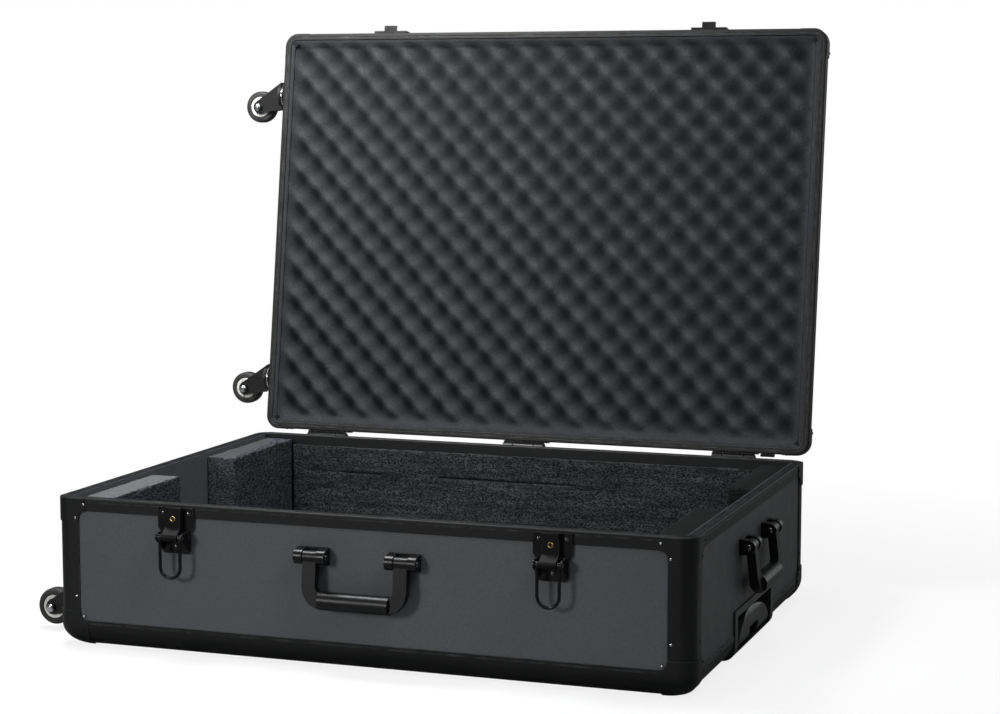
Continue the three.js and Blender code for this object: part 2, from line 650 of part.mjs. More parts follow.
function buildTrolley() {
  const T = TROLLEY;
  const block = new THREE.Shape();
  block.moveTo(T.back, T.low);
  block.lineTo(T.front - T.round, T.low);
  block.absarc(T.front - T.round, T.low + T.round, T.round, -Math.PI / 2, 0, false);
  block.lineTo(T.front, T.high);
  block.lineTo(T.back, T.high);
  const rods = [-T.rodY, T.rodY];
  const tubes = rods.map((y) => cylinder('x', T.rodRadius + 2.4, T.rodStart, T.back + 2, [y, T.rodZ], 12));
  const boreRadius = T.rodRadius + 0.5;
  const bores = rods.map((y) => cylinder('x', boreRadius, T.rodStart - 1, T.front + 1, [y, T.rodZ], 12));
  const housing = cut(
    join(slabAlongY(block, -T.halfWidth, T.halfWidth, 4), ...tubes),
    box(T.recessBack, T.front + 1, -T.recessHalf, T.recessHalf, T.recessLow, T.recessHigh),
    ...bores,
  );
  addPiece(transportCase, 'trolley_housing', housing, MATERIAL.plastic);

  const gripHalf = 78;
  const gripLow = T.recessLow + 1.5;
  const gripSide = 20;
  const gripTop = T.recessHigh - 5;
  const arch = new THREE.Shape();
  arch.moveTo(-gripHalf, gripLow);
  arch.lineTo(-22, gripLow);
  arch.lineTo(-22, gripLow + 17);
  arch.lineTo(22, gripLow + 17);
  arch.lineTo(22, gripLow);
  arch.lineTo(gripHalf, gripLow);
  arch.lineTo(gripHalf, gripSide);
  arch.bezierCurveTo(gripHalf * 0.85, gripTop * 0.82, gripHalf * 0.5, gripTop, 0, gripTop);
  arch.bezierCurveTo(-gripHalf * 0.5, gripTop, -gripHalf * 0.85, gripTop * 0.82, -gripHalf, gripSide);
  const grip = slabAlongX(arch, T.rodEnd - 4, T.front - 1, 8);
  const roundedGrip = grip.intersect(slabAlongY(gripSection(), -gripHalf - 1, gripHalf + 1, 4));
  const rodBodies = rods.map((y) => cylinder('x', T.rodRadius, T.rodStart + 10, T.rodEnd, [y, T.rodZ], 12));
  addPiece(transportCase, 'trolley_handle', join(roundedGrip, ...rodBodies), MATERIAL.plastic);
}

/** Side view of the trolley grip, rounded under its front to follow the case's bottom edge. */
function gripSection() {
  const T = TROLLEY;
  const front = T.front - 1;
  const r = T.round - 2;
  const low = T.recessLow;
  const section = new THREE.Shape();
  section.moveTo(T.recessBack, low);
  section.lineTo(front - r, low);
  section.absarc(front - r, low + r, r, -Math.PI / 2, 0, false);
  section.lineTo(front, T.recessHigh - 12);
  section.lineTo(front - 6, T.recessHigh);
  section.lineTo(T.recessBack, T.recessHigh);
  return section;
}

// ---------------------------------------------------------------- casters

// A caster is drawn on a wall in the YZ plane that faces -X, with its stem along X through the origin.
const CASTER = {
  plateHalfY: 24, plateHalfZ: 14.5, plateOut: 8, raceRadius: 14, raceOut: 11.5, forkStart: 12,
  crownRadius: 19.5, crownOut: 15.5, axleOut: 48.5, trail: 16.5, legIn: 10.4, legThick: 2.4,
  legLow: 20, bossRadius: 9, axleRadius: 3.4, headRadius: 5.2, wheelHalf: 8.6,
};

function casterPlate() {
  const C = CASTER;
  const r = 5;
  const shape = new THREE.Shape();
  shape.absarc(C.plateHalfY - r, C.plateHalfZ - r, r, 0, Math.PI / 2, false);
  shape.absarc(-C.plateHalfY + r, C.plateHalfZ - r, r, Math.PI / 2, Math.PI, false);
  shape.absarc(-C.plateHalfY + r, -C.plateHalfZ + r, r, Math.PI, 1.5 * Math.PI, false);
  shape.absarc(C.plateHalfY - r, -C.plateHalfZ + r, r, 1.5 * Math.PI, 2 * Math.PI, false);
  return join(
    slabAlongX(shape, -C.plateOut, 12, 3),
    cylinder('x', C.raceRadius, -C.raceOut, -C.plateOut + 0.5, [0, 0], 16),
  );
}

/** Side view of a fork leg: straight edges from its root at the crown to the round axle boss. */
function casterLeg() {
  const C = CASTER;
  const axle = new THREE.Vector2(-C.axleOut, -C.trail);
  const upper = new THREE.Vector2(-C.forkStart, C.crownRadius);
  const lower = new THREE.Vector2(-C.forkStart, -C.legLow);
  const tangent = (root, side) => {
    const reach = root.clone().sub(axle);
    return reach.angle() + side * Math.acos(C.bossRadius / reach.length());
  };
  const shape = new THREE.Shape();
  shape.moveTo(lower.x, lower.y);
  shape.lineTo(upper.x, upper.y);
  shape.absarc(axle.x, axle.y, C.bossRadius, tangent(upper, 1), tangent(lower, -1), false);
  return shape;
}

function casterFork() {
  const C = CASTER;
  const axle = [-C.axleOut, -C.trail];
  const leg = casterLeg();
  const legs = [-1, 1].map((side) => {
    const y0 = side > 0 ? C.legIn : -C.legIn - C.legThick;
    return slabAlongY(leg, y0, y0 + C.legThick, 5);
  });
  const crown = cylinder('x', C.crownRadius, -C.crownOut, -C.forkStart, [0, 0], 20);
  const bolt = cylinder('y', C.axleRadius, -C.legIn - 0.5, C.legIn + 0.5, axle, 12);
  const heads = [-1, 1].map((side) => {
    const start = side * (C.legIn + 0.5);
    const end = side * (C.legIn + C.legThick + 2.2);
    return cylinder('y', C.headRadius, Math.min(start, end), Math.max(start, end), axle, 12);
  });
  return join(crown, ...legs, bolt, ...heads);
}

function casterWheel() {
  const C = CASTER;
  const bore = C.axleRadius + 0.4;
  const half = C.wheelHalf;
  const profile = [
    [bore, -half], [8.5, -half], [9.5, -half + 1.6], [16, -half + 1.6], [17.2, -half],
    [20.8, -half], [WHEEL_RADIUS, -half + 3.4],
  ];
  const mirrored = [...profile].reverse().map(([r, y]) => [r, -y]);
  const points = [...profile, ...mirrored, profile[0]].map(([r, y]) => new THREE.Vector2(r, y));
  const geometry = new THREE.LatheGeometry(points, 20);
  return solid(geometry.translate(-C.axleOut, 0, -C.trail));
}

/** A caster whose wheel hangs towards the floor when the case stands open. */
function buildCaster(name, parent, y, z, outside, turn, inset) {
  const offset = parent === lid ? PIN : new THREE.Vector3();
  const plate = geometryOf(casterPlate()).translate(inset - X, y, z);
  addPiece(parent, `${name}_plate`, solid(plate).subtract(outside), MATERIAL.plastic);
  const swivel = new THREE.Group();
  swivel.position.set(inset - X - offset.x, y - offset.y, z - offset.z);
  swivel.rotation.x = turn;
  parent.add(swivel);
  addPiece(swivel, `${name}_fork`, casterFork(), MATERIAL.hardware);
  addPiece(swivel, `${name}_wheel`, casterWheel(), MATERIAL.tyre);
}

function buildCasters() {
  const base = baseOutside(GAP, BASE_HEIGHT);
  const cover = lidOutside(GAP);
  buildCaster('caster_base_front', transportCase, -CASTER_ROW, CASTER_HEIGHT, base, 0, 0);
  buildCaster('caster_base_back', transportCase, CASTER_ROW, CASTER_HEIGHT, base, 0, 0);
  const z = LID_LOW + LID_CASTER_DEPTH;
  buildCaster('caster_lid_front', lid, LID_CASTER_SHIFT - CASTER_ROW, z, cover, OPEN, LID_CASTER_INSET);
  buildCaster('caster_lid_back', lid, LID_CASTER_SHIFT + CASTER_ROW, z, cover, OPEN, LID_CASTER_INSET);
}

// ---------------------------------------------------------------- build

buildBaseShell();
buildPosts();
buildCornerCaps();
buildFoamTray();
buildLid();
buildHinges();
buildLatches();
buildCarryHandle('front_handle', 0, -Y, 0);
buildCarryHandle('side_handle', X, 0, Math.PI / 2);
buildTrolley();
buildCasters();

export default transportCase;
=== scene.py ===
import json
import math

import bmesh
import bpy
from mathutils import Matrix, Vector, noise


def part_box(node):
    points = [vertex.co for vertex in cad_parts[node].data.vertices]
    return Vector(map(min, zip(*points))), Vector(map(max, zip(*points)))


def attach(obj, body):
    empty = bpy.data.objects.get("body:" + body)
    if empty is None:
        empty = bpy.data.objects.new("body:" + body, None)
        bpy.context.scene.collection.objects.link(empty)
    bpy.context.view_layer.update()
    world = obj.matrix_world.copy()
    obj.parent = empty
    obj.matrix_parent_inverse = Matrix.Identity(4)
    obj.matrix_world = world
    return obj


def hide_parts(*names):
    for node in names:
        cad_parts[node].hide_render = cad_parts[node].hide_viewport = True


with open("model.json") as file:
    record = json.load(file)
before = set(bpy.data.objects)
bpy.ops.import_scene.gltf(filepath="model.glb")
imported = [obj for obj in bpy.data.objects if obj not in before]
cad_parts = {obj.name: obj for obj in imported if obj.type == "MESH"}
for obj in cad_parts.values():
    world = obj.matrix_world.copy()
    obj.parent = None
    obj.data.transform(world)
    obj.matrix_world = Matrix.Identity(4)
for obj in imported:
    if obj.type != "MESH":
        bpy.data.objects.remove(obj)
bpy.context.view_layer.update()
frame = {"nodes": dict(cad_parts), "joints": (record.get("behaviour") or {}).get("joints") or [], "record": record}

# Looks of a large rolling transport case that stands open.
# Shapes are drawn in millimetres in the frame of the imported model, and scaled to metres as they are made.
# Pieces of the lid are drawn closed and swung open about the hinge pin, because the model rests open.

MM = 0.001
SCENE = bpy.context.scene


def box_mm(node):
    low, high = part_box(node)
    return low / MM, high / MM


# ------------------------------------------------------------ sizes read from the frame

BODY_OF = {node: body for body, nodes in frame["record"]["behaviour"]["bodies"].items() for node in nodes}
JOINT = {joint["name"]: joint for joint in frame["joints"]}

RIM_LOW, RIM_HIGH = box_mm("rim_frame")
HALF_X, HALF_Y = RIM_HIGH.x, RIM_HIGH.y
RIM_TOP, RIM_BOTTOM = RIM_HIGH.z, RIM_LOW.z
BAND_TOP = box_mm("bottom_frame")[1].z
PIN = Vector(JOINT["lid_hinge"]["pos_m"]) / MM
OPEN = math.radians(JOINT["lid_hinge"]["range_deg"][1])
OPENING = Matrix.Translation(PIN) @ Matrix.Rotation(-OPEN, 4, "X") @ Matrix.Translation(-PIN)

# Section sizes of the profiles, posts, caps and foam.
CORNER_RADIUS = 18
EDGE_RADIUS = 28
RIM_WIDTH = 13
SKIN = 1.2
GAP = 0.3
POST_LEG = 31
LID_LOW = RIM_TOP + 0.4
LID_TOP = LID_LOW + 45
CAP_THICKNESS = 1.1
FOAM_TOP = 178
FOAM_FLOOR = 50
CORNERS = {"front_left": (-1, -1), "front_right": (1, -1), "back_right": (1, 1), "back_left": (-1, 1)}


# ------------------------------------------------------------ colours and materials

def tone(red, green, blue):
    """A linear colour from 8-bit display values."""
    def linear(value):
        value /= 255
        return value / 12.92 if value <= 0.04045 else ((value + 0.055) / 1.055) ** 2.4
    return (linear(red), linear(green), linear(blue), 1.0)


class Look:
    """A procedural material under construction. Texture space is the object's own, in metres."""

    def __init__(self, name, slot):
        self.material = bpy.data.materials.new(name)
        self.material.use_nodes = True
        self.tree = self.material.node_tree
        self.shader = self.tree.nodes["Principled BSDF"]
        self.place = self.node("TexCoord").outputs["Object"]
        self.material["slot"] = slot

    def node(self, kind):
        return self.tree.nodes.new("ShaderNode" + kind)

    def link(self, source, target):
        self.tree.links.new(source, target)

    def noise(self, size_mm, detail=3.0, roughness=0.55, stretch=None):
        """Noise whose features are about size_mm across, longer along an axis where stretch says so."""
        node = self.node("TexNoise")
        node.inputs["Scale"].default_value = 0.5 / (size_mm * MM)
        node.inputs["Detail"].default_value = detail
        node.inputs["Roughness"].default_value = roughness
        place = self.place
        if stretch:
            mapping = self.node("Mapping")
            mapping.inputs["Scale"].default_value = [1 / s for s in stretch]
            self.link(place, mapping.inputs["Vector"])
            place = mapping.outputs["Vector"]
        self.link(place, node.inputs["Vector"])
        return node.outputs["Fac"]

    def ramp(self, value, low, high, start=0.0, end=1.0):
        """Maps value from low..high to start..end, clamped."""
        node = self.node("MapRange")
        for name, number in (("From Min", low), ("From Max", high), ("To Min", start), ("To Max", end)):
            node.inputs[name].default_value = number
        self.link(value, node.inputs["Value"])
        return node.outputs["Result"]

    def maths(self, operation, first, second):
        node = self.node("Math")
        node.operation = operation
        for source, target in zip((first, second), node.inputs):
            if isinstance(source, (int, float)):
                target.default_value = source
            else:
                self.link(source, target)
        return node.outputs["Value"]

    def mix(self, factor, first, second):
        node = self.node("Mix")
        node.data_type = "RGBA"
        targets = [s for s in node.inputs if s.enabled]
        for source, target in zip((factor, first, second), targets):
            if isinstance(source, (tuple, float, int)):
                target.default_value = source
            else:
                self.link(source, target)
        return [s for s in node.outputs if s.enabled][0]

    def bump(self, height, depth_mm, normal=None):
        node = self.node("Bump")
        node.inputs["Strength"].default_value = 1.0
        node.inputs["Distance"].default_value = depth_mm * MM
        self.link(height, node.inputs["Height"])
        if normal is not None:
            self.link(normal, node.inputs["Normal"])
        return node.outputs["Normal"]

    def edges(self, radius_mm):
        """How sharply the surface turns within radius_mm, from 0 on flats to 1 on edges."""
        bevel = self.node("Bevel")
        bevel.samples = 4
        bevel.inputs["Radius"].default_value = radius_mm * MM
        geometry = self.node("NewGeometry")
        dot = self.node("VectorMath")
        dot.operation = "DOT_PRODUCT"
        self.link(bevel.outputs["Normal"], dot.inputs[0])
        self.link(geometry.outputs["Normal"], dot.inputs[1])
        return self.ramp(self.maths("SUBTRACT", 1.0, dot.outputs["Value"]), 0.02, 0.25)

    def set(self, **values):
        names = {"color": "Base Color", "rough": "Roughness", "metal": "Metallic", "normal": "Normal",
                 "specular": "Specular IOR Level"}
        for key, value in values.items():
            target = self.shader.inputs[names[key]]
            if isinstance(value, (tuple, float, int)):
                target.default_value = value
            else:
                self.link(value, target)
        return self.material


def coated(name, slot, dark, light, rough, metal, grain_mm=0.5, grain_depth=0.05, edge_wear_and_highlight=None, stretch=None,
           specular=0.5):
    """Painted, anodised or moulded surfaces: two close tones, a fine grain and, where given, brighter edges that
    are both edge wear and a painted highlight along the edges.
    """
    look = Look(name, slot)
    cloud = look.ramp(look.noise(60, 4), 0.3, 0.7)
    color = look.mix(cloud, dark, light)
    grain = look.noise(grain_mm, 2, stretch=stretch)
    if edge_wear_and_highlight:
        # Brighter edges: partly real wear, partly a painted highlight where the edges catch the light.
        scuffs_and_glints = look.ramp(look.noise(9, 3), 0.38, 0.62)
        worn_and_lit = look.maths("MULTIPLY", look.edges(0.7), scuffs_and_glints)
        color = look.mix(look.maths("MULTIPLY", worn_and_lit, 0.85), color, edge_wear_and_highlight)
    blotches = look.noise(grain_mm * 8, 3, stretch=stretch)
    roughness = look.ramp(blotches, 0.25, 0.75, rough - 0.07, rough + 0.07)
    return look.set(color=color, rough=roughness, metal=metal, specular=specular,
                    normal=look.bump(grain, grain_depth))


def laminate_look(name, dark, light, fleck):
    """Smooth laminate with a fine pebble grain and faint clouds."""
    look = Look(name, "laminate")
    cloud = look.ramp(look.noise(110, 3), 0.25, 0.75)
    color = look.mix(cloud, dark, light)
    speck = look.ramp(look.noise(1.3, 3), 0.38, 0.66)
    color = look.mix(look.maths("MULTIPLY", speck, 0.38), color, fleck)
    rough = look.ramp(look.noise(18, 3), 0.25, 0.75, 0.5, 0.64)
    return look.set(color=color, rough=rough, specular=0.4, normal=look.bump(look.noise(1.2, 3), 0.12))


def foam_look(name, dark, light, cell_mm, depth, contrast, scratches=None, low=0.3, high=0.72, rows=0.0):
    """Open-cell foam: cells with dark pits, drawn out by scratches, and level rows left by the blade."""
    look = Look(name, "foam")
    cells = look.noise(cell_mm, 4, 0.65, stretch=scratches)
    pits = look.ramp(cells, low, high)
    clouds = look.ramp(look.noise(34, 3), 0.3, 0.7)
    color = look.mix(pits, dark, light)
    color = look.mix(look.maths("MULTIPLY", clouds, contrast), color, dark)
    bands = look.ramp(look.noise(2.6, 3, stretch=(16, 16, 1)), 0.38, 0.62)
    color = look.mix(look.maths("MULTIPLY", bands, rows), color, dark)
    fine = look.noise(cell_mm * 0.4, 2)
    normal = look.bump(fine, depth * 0.3, look.bump(cells, depth))
    return look.set(color=color, rough=0.95, specular=0.15, normal=normal)


def lid_foam_look():
    """Egg-crate foam: its colour darkens into the hollows as painted shade, which the mesh marks with its height.
    """
    look = Look("lid_foam", "foam")
    height = look.node("Attribute")
    height.attribute_name = "height"
    level = look.ramp(height.outputs["Fac"], 0.0, 1.0)
    # Painted shade: darker colour from the crests down into the hollows.
    color = look.mix(level, tone(26, 27, 28), tone(64, 65, 67))
    cells = look.ramp(look.noise(1.3, 4, 0.7), 0.36, 0.66)
    color = look.mix(look.maths("MULTIPLY", cells, 0.55), color, tone(24, 25, 27))
    clouds = look.ramp(look.noise(60, 2), 0.35, 0.7)
    color = look.mix(look.maths("MULTIPLY", clouds, 0.3), color, tone(36, 37, 39))
    normal = look.bump(look.noise(1.1, 2), 0.5, look.bump(look.noise(2.6, 4, 0.65), 1.0))
    return look.set(color=color, rough=0.96, specular=0.08, normal=normal)


def bright_metal(name, slot, color, rough, metal=1.0):
    look = Look(name, slot)
    cloud = look.ramp(look.noise(3, 2), 0.3, 0.7)
    shade = look.mix(look.maths("MULTIPLY", cloud, 0.35), color, tone(90, 88, 84))
    roughness = look.ramp(look.noise(1.5, 2), 0.3, 0.7, rough - 0.05, rough + 0.08)
    return look.set(color=shade, rough=roughness, metal=metal, normal=look.bump(look.noise(0.5, 2), 0.02))


def rubber_look():
    look = Look("tyre", "caster_tyre")
    cloud = look.ramp(look.noise(7, 3), 0.35, 0.7)
    color = look.mix(cloud, tone(24, 24, 25), tone(48, 47, 46))
    return look.set(color=color, rough=0.62, specular=0.45, normal=look.bump(look.noise(0.8, 3), 0.08))


# Edge tone for worn edges, also serving as a painted highlight along them.
WORN_AND_LIT_EDGE = tone(118, 120, 122)
LAMINATE = laminate_look("laminate", tone(68, 71, 76), tone(77, 78, 81), tone(52, 54, 58))
# A darker copy of the laminate for the side panels: painted shade.
SHADED_SIDE_LAMINATE = laminate_look("laminate_in_shade", tone(55, 56, 57), tone(61, 62, 63), tone(38, 39, 40))
PROFILE = coated("profile", "frame_profile", tone(9, 10, 11), tone(14, 15, 16), 0.5, 0.0, grain_mm=0.4,
                 grain_depth=0.03, edge_wear_and_highlight=WORN_AND_LIT_EDGE, specular=0.22)
# A lighter tone for the frames' lips: a painted highlight where their rounded edges catch the light, with edge
# wear.
LIP_HIGHLIGHT = coated("profile_lip_highlight", "frame_profile", tone(22, 22, 22), tone(30, 30, 29), 0.52, 0.0, grain_mm=0.4,
             grain_depth=0.03, edge_wear_and_highlight=WORN_AND_LIT_EDGE, stretch=(30, 30, 1), specular=0.2)
CAP = coated("corner_fitting", "corner_fitting", tone(9, 10, 12), tone(13, 14, 16), 0.48, 0.0,
             grain_depth=0.04, edge_wear_and_highlight=WORN_AND_LIT_EDGE, specular=0.22)
HARDWARE = coated("black_hardware", "hardware", tone(7, 7, 8), tone(12, 12, 14), 0.3, 0.0,
                  grain_depth=0.03, edge_wear_and_highlight=tone(104, 106, 109), specular=0.2)
LEVER = coated("lever_black", "hardware", tone(8, 8, 9), tone(14, 14, 16), 0.5, 0.0,
               grain_depth=0.03, edge_wear_and_highlight=tone(96, 98, 101), specular=0.1)
FORK = coated("fork_steel", "hardware", tone(10, 11, 11), tone(15, 16, 16), 0.42, 0.0, edge_wear_and_highlight=WORN_AND_LIT_EDGE,
              specular=0.3)
PLASTIC = coated("moulded_plastic", "grip_plastic", tone(8, 9, 10), tone(13, 14, 15), 0.36, 0.0, grain_mm=0.8,
                 grain_depth=0.06, specular=0.2)
# Its brighter edges are a painted highlight along the bezel's edges as well as wear.
TROLLEY_PLASTIC = coated("trolley_plastic", "grip_plastic", tone(22, 23, 23), tone(30, 31, 31), 0.42, 0.0,
                         grain_mm=0.8, grain_depth=0.08, edge_wear_and_highlight=tone(126, 128, 128))
CASTER_PLASTIC = coated("caster_plastic", "caster_plastic", tone(20, 21, 22), tone(28, 29, 30), 0.42, 0.0)
RUBBER = rubber_look()
STEEL = bright_metal("steel", "hardware", tone(205, 206, 208), 0.22)
DARK_STEEL = bright_metal("dark_steel", "hardware", tone(96, 97, 99), 0.2)
HUB = bright_metal("hub", "caster_tyre", tone(236, 236, 232), 0.32, 0.0)
BRASS = bright_metal("brass", "lock_brass", tone(214, 190, 124), 0.24)
CORE = coated("key_core", "lock_brass", tone(24, 22, 18), tone(34, 30, 24), 0.4, 0.6)
ROUGH_FOAM = foam_look("cut_foam", tone(8, 9, 10), tone(100, 104, 106), 0.72, 1.0, 0.25, low=0.42, high=0.78,
                       scratches=(1.9, 1.0, 1.0), rows=0.5)
SIDE_FOAM = foam_look("sawn_foam", tone(24, 26, 29), tone(110, 113, 120), 0.95, 1.0, 0.3, low=0.42, high=0.78,
                      scratches=(2.0, 3.0, 1.0))
# The right-hand blocks' foam is a darker copy, painted shade.
DARK_FOAM = foam_look("shaded_foam", tone(6, 7, 8), tone(52, 54, 55), 0.8, 1.0, 0.3, low=0.44, high=0.78,
                      rows=0.3)
SKIN_FOAM = foam_look("foam_skin", tone(72, 73, 75), tone(98, 99, 101), 1.6, 0.25, 0.15)
# Painted shade: a darker copy of the skin for the far tops of the left-hand blocks.
FAR_SHADED_SKIN_FOAM = foam_look("foam_far_skin_in_shade", tone(52, 53, 55), tone(76, 77, 79), 1.6, 0.25, 0.25)
# Painted shade: a near-black copy of the skin for the tops of the right-hand blocks.
SHADED_SKIN_FOAM = foam_look("foam_skin_in_shade", tone(5, 6, 6), tone(11, 12, 11), 3.0, 0.25, 0.2)
FELT = foam_look("felt", tone(70, 71, 74), tone(90, 91, 94), 1.2, 0.3, 0.3)
LID_FOAM = lid_foam_look()


# ------------------------------------------------------------ mesh building

def put_sharp_marks(bm, crease):
    limit = math.radians(crease)
    for face in bm.faces:
        face.smooth = True
    for edge in bm.edges:
        edge.smooth = len(edge.link_faces) != 2 or edge.calc_face_angle(0) < limit


def piece(name, bm, body, look, replaces=(), opened=False, bevel=0.0, segments=2, crease=32):
    """Makes a shape drawn in millimetres a piece of the object that rides on its body."""
    bmesh.ops.recalc_face_normals(bm, faces=bm.faces)
    if bevel:
        limit = math.radians(crease)
        turning = [edge for edge in bm.edges if len(edge.link_faces) == 2 and edge.calc_face_angle(0) > limit]
        bmesh.ops.bevel(bm, geom=turning, offset=bevel, offset_type="OFFSET", segments=segments, profile=0.6,
                        affect="EDGES", clamp_overlap=True)
    scale = Matrix.Scale(MM, 4)
    bm.transform(scale @ OPENING if opened else scale)
    put_sharp_marks(bm, crease)
    mesh = bpy.data.meshes.new(name)
    bm.to_mesh(mesh)
    bm.free()
    mesh.materials.append(look)
    made = bpy.data.objects.new(name, mesh)
    SCENE.collection.objects.link(made)
    weighted = made.modifiers.new("weighted_normals", "WEIGHTED_NORMAL")
    weighted.keep_sharp = True
    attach(made, body)
    if replaces:
        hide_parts(*replaces)
    return made


def from_node(node, look, bevel, segments=2):
    """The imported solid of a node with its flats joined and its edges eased."""
    bm = bmesh.new()
    bm.from_mesh(frame["nodes"][node].data)
    bm.transform(Matrix.Scale(1 / MM, 4))
    bmesh.ops.remove_doubles(bm, verts=bm.verts, dist=0.003)
    bmesh.ops.dissolve_limit(bm, angle_limit=math.radians(0.6), verts=bm.verts, edges=bm.edges)
    return piece(node + "_finish", bm, BODY_OF[node], look, [node], bevel=bevel, segments=segments)


def arc(cx, cy, radius, start, end, steps):
    """Points on an arc, with its angles in degrees."""
    turns = [math.radians(start + (end - start) * k / steps) for k in range(steps + 1)]
    return [(cx + radius * math.cos(t), cy + radius * math.sin(t)) for t in turns]


AXES = {
    "x": lambda u, v, w: Vector((w, u, v)),
    "y": lambda u, v, w: Vector((u, w, v)),
    "z": lambda u, v, w: Vector((u, v, w)),
}


def full_turn(steps):
    return [2 * math.pi * k / steps for k in range(steps)]


def join_rings(bm, rings, broken=False):
    """Faces between each ring of points and the next; a broken ring's last point doesn't meet its first."""
    count = len(rings[0])
    for a, b in zip(rings, rings[1:]):
        for k in range(count - 1 if broken else count):
            after = (k + 1) % count
            bm.faces.new((a[k], a[after], b[after], b[k]))


def add_prism(bm, outline, axis, low, high):
    """A closed prism along an axis; the outline is in the other two axes, in their own order."""
    ends = [[bm.verts.new(AXES[axis](u, v, end)) for u, v in outline] for end in (low, high)]
    for end in ends:
        bm.faces.new(end)
    join_rings(bm, ends)


def add_lathe(bm, profile, axis, centre, steps):
    """A turned ring: the profile is a closed loop of (radius, height along the axis)."""
    rings = []
    for radius, height in profile:
        points = [AXES[axis](radius * math.cos(t), radius * math.sin(t), height) for t in full_turn(steps)]
        rings.append([bm.verts.new(Vector(centre) + point) for point in points])
    join_rings(bm, rings + rings[:1])


def eased_ring(inner, outer, low, high, ease, rise):
    """A lathe profile of a plain ring whose outer corners are cut back by ease, over a height of rise."""
    return [(inner, low), (outer - ease, low), (outer, low + rise), (outer, high - rise),
            (outer - ease, high), (inner, high)]


def both_ways(half):
    """A lathe profile that is the same on both sides of its centre plane, from the half below it."""
    return half + [(radius, -height) for radius, height in reversed(half)]


def turned_piece(name, profile, axis, centre, steps, body, look, replaces=()):
    bm = bmesh.new()
    add_lathe(bm, profile, axis, centre, steps)
    piece(name, bm, body, look, replaces)


def add_tube(bm, path, radius, steps):
    """A round bar along a path of points, with flat ends."""
    points = [Vector(p) for p in path]
    along = [(b - a).normalized() for a, b in zip(points, points[1:])]
    tangents = [along[0]] + [(a + b).normalized() for a, b in zip(along, along[1:])] + [along[-1]]
    side = tangents[0].orthogonal().normalized()
    rings = []
    for point, tangent in zip(points, tangents):
        side = (side - tangent * side.dot(tangent)).normalized()
        up = tangent.cross(side)
        rings.append([bm.verts.new(point + radius * (side * math.cos(t) + up * math.sin(t)))
                      for t in full_turn(steps)])
    join_rings(bm, rings)
    bm.faces.new(rings[0])
    bm.faces.new(rings[-1])


def add_sheet(bm, outer, inner):
    """A closed sheet between two grids of points of the same size."""
    grids = [[[bm.verts.new(p) for p in row] for row in grid] for grid in (outer, inner)]
    rows, columns = len(outer), len(outer[0])
    for grid in grids:
        for i in range(rows - 1):
            for j in range(columns - 1):
                bm.faces.new((grid[i][j], grid[i][j + 1], grid[i + 1][j + 1], grid[i + 1][j]))
    border = [(0, j) for j in range(columns)] + [(i, columns - 1) for i in range(1, rows)]
    border += [(rows - 1, j) for j in range(columns - 2, -1, -1)] + [(i, 0) for i in range(rows - 2, 0, -1)]
    for (i, j), (k, m) in zip(border, border[1:] + border[:1]):
        bm.faces.new((grids[0][i][j], grids[0][k][m], grids[1][k][m], grids[1][i][j]))


def add_rivet(bm, place, normal, radius, height, steps=16):
    """A domed rivet head that stands on a surface, with its foot sunk in."""
    normal = Vector(normal).normalized()
    side = normal.orthogonal().normalized()
    up = normal.cross(side)
    foot, rim = -0.4, 0.25
    dome = [(radius * r, rim + (height - rim) * h) for r, h in arc(0, 0, 1, 18, 72, 3)]
    rings = []
    for r, h in [(radius, foot), (radius, rim)] + dome:
        centre = Vector(place) + normal * h
        rings.append([bm.verts.new(centre + r * (side * math.cos(t) + up * math.sin(t)))
                      for t in full_turn(steps)])
    join_rings(bm, rings)
    bm.faces.new(rings[0])
    bm.faces.new(rings[-1])


# ------------------------------------------------------------ profiles swept round the case

def plan_points(inset, radius, steps):
    """The rounded plan outline of the case, moved inwards by inset, anticlockwise from its +X side."""
    cx, cy = HALF_X - inset - radius, HALF_Y - inset - radius
    points = []
    for quarter, (sx, sy) in enumerate(((1, 1), (-1, 1), (-1, -1), (1, -1))):
        points += arc(sx * cx, sy * cy, radius, 90 * quarter, 90 * quarter + 90, steps)
    return points


def add_swept(bm, section, gap=None):
    """Sweeps a closed section of (inset, z, radius) round the plan; gap is half of a break's width at +X."""
    loops = []
    for inset, z, radius in section:
        points = plan_points(inset, radius, 8)
        if gap:
            points = [(HALF_X - inset, gap)] + points + [(HALF_X - inset, -gap)]
        loops.append([bm.verts.new((x, y, z)) for x, y in points])
    join_rings(bm, loops + loops[:1], broken=bool(gap))
    if gap:
        bm.faces.new([loop[0] for loop in loops])
        bm.faces.new([loop[-1] for loop in loops])


def inner_radius(inset):
    return max(CORNER_RADIUS - inset, 2)


def groove(inset, z, width, depth):
    """Four points of a shallow groove across a level face, going inwards."""
    half = width / 2
    slope = 0.25
    return [(inset - half, z), (inset - half + slope, z - depth), (inset + half - slope, z - depth),
            (inset + half, z)]


def swept_section(points, outer_count):
    """Adds plan radii to a section: the first points lie on the outside and keep its full corner radius."""
    full = [(inset, z, CORNER_RADIUS) for inset, z in points[:outer_count]]
    return full + [(inset, z, inner_radius(inset)) for inset, z in points[outer_count:]]


def paint_lip_highlight(made, on_lip):
    """Paints the lighter lip tone, a painted highlight where the light catches the lip, on the faces whose inset
    and closed height are on the lip.
    """
    made.data.materials.append(LIP_HIGHLIGHT)
    closing = OPENING.inverted() if made.name.startswith("lid") else Matrix.Identity(4)
    for face in made.data.polygons:
        middle = closing @ (face.center / MM)
        inset = min(HALF_X - abs(middle.x), HALF_Y - abs(middle.y))
        if on_lip(inset, middle.z):
            face.material_index = 1


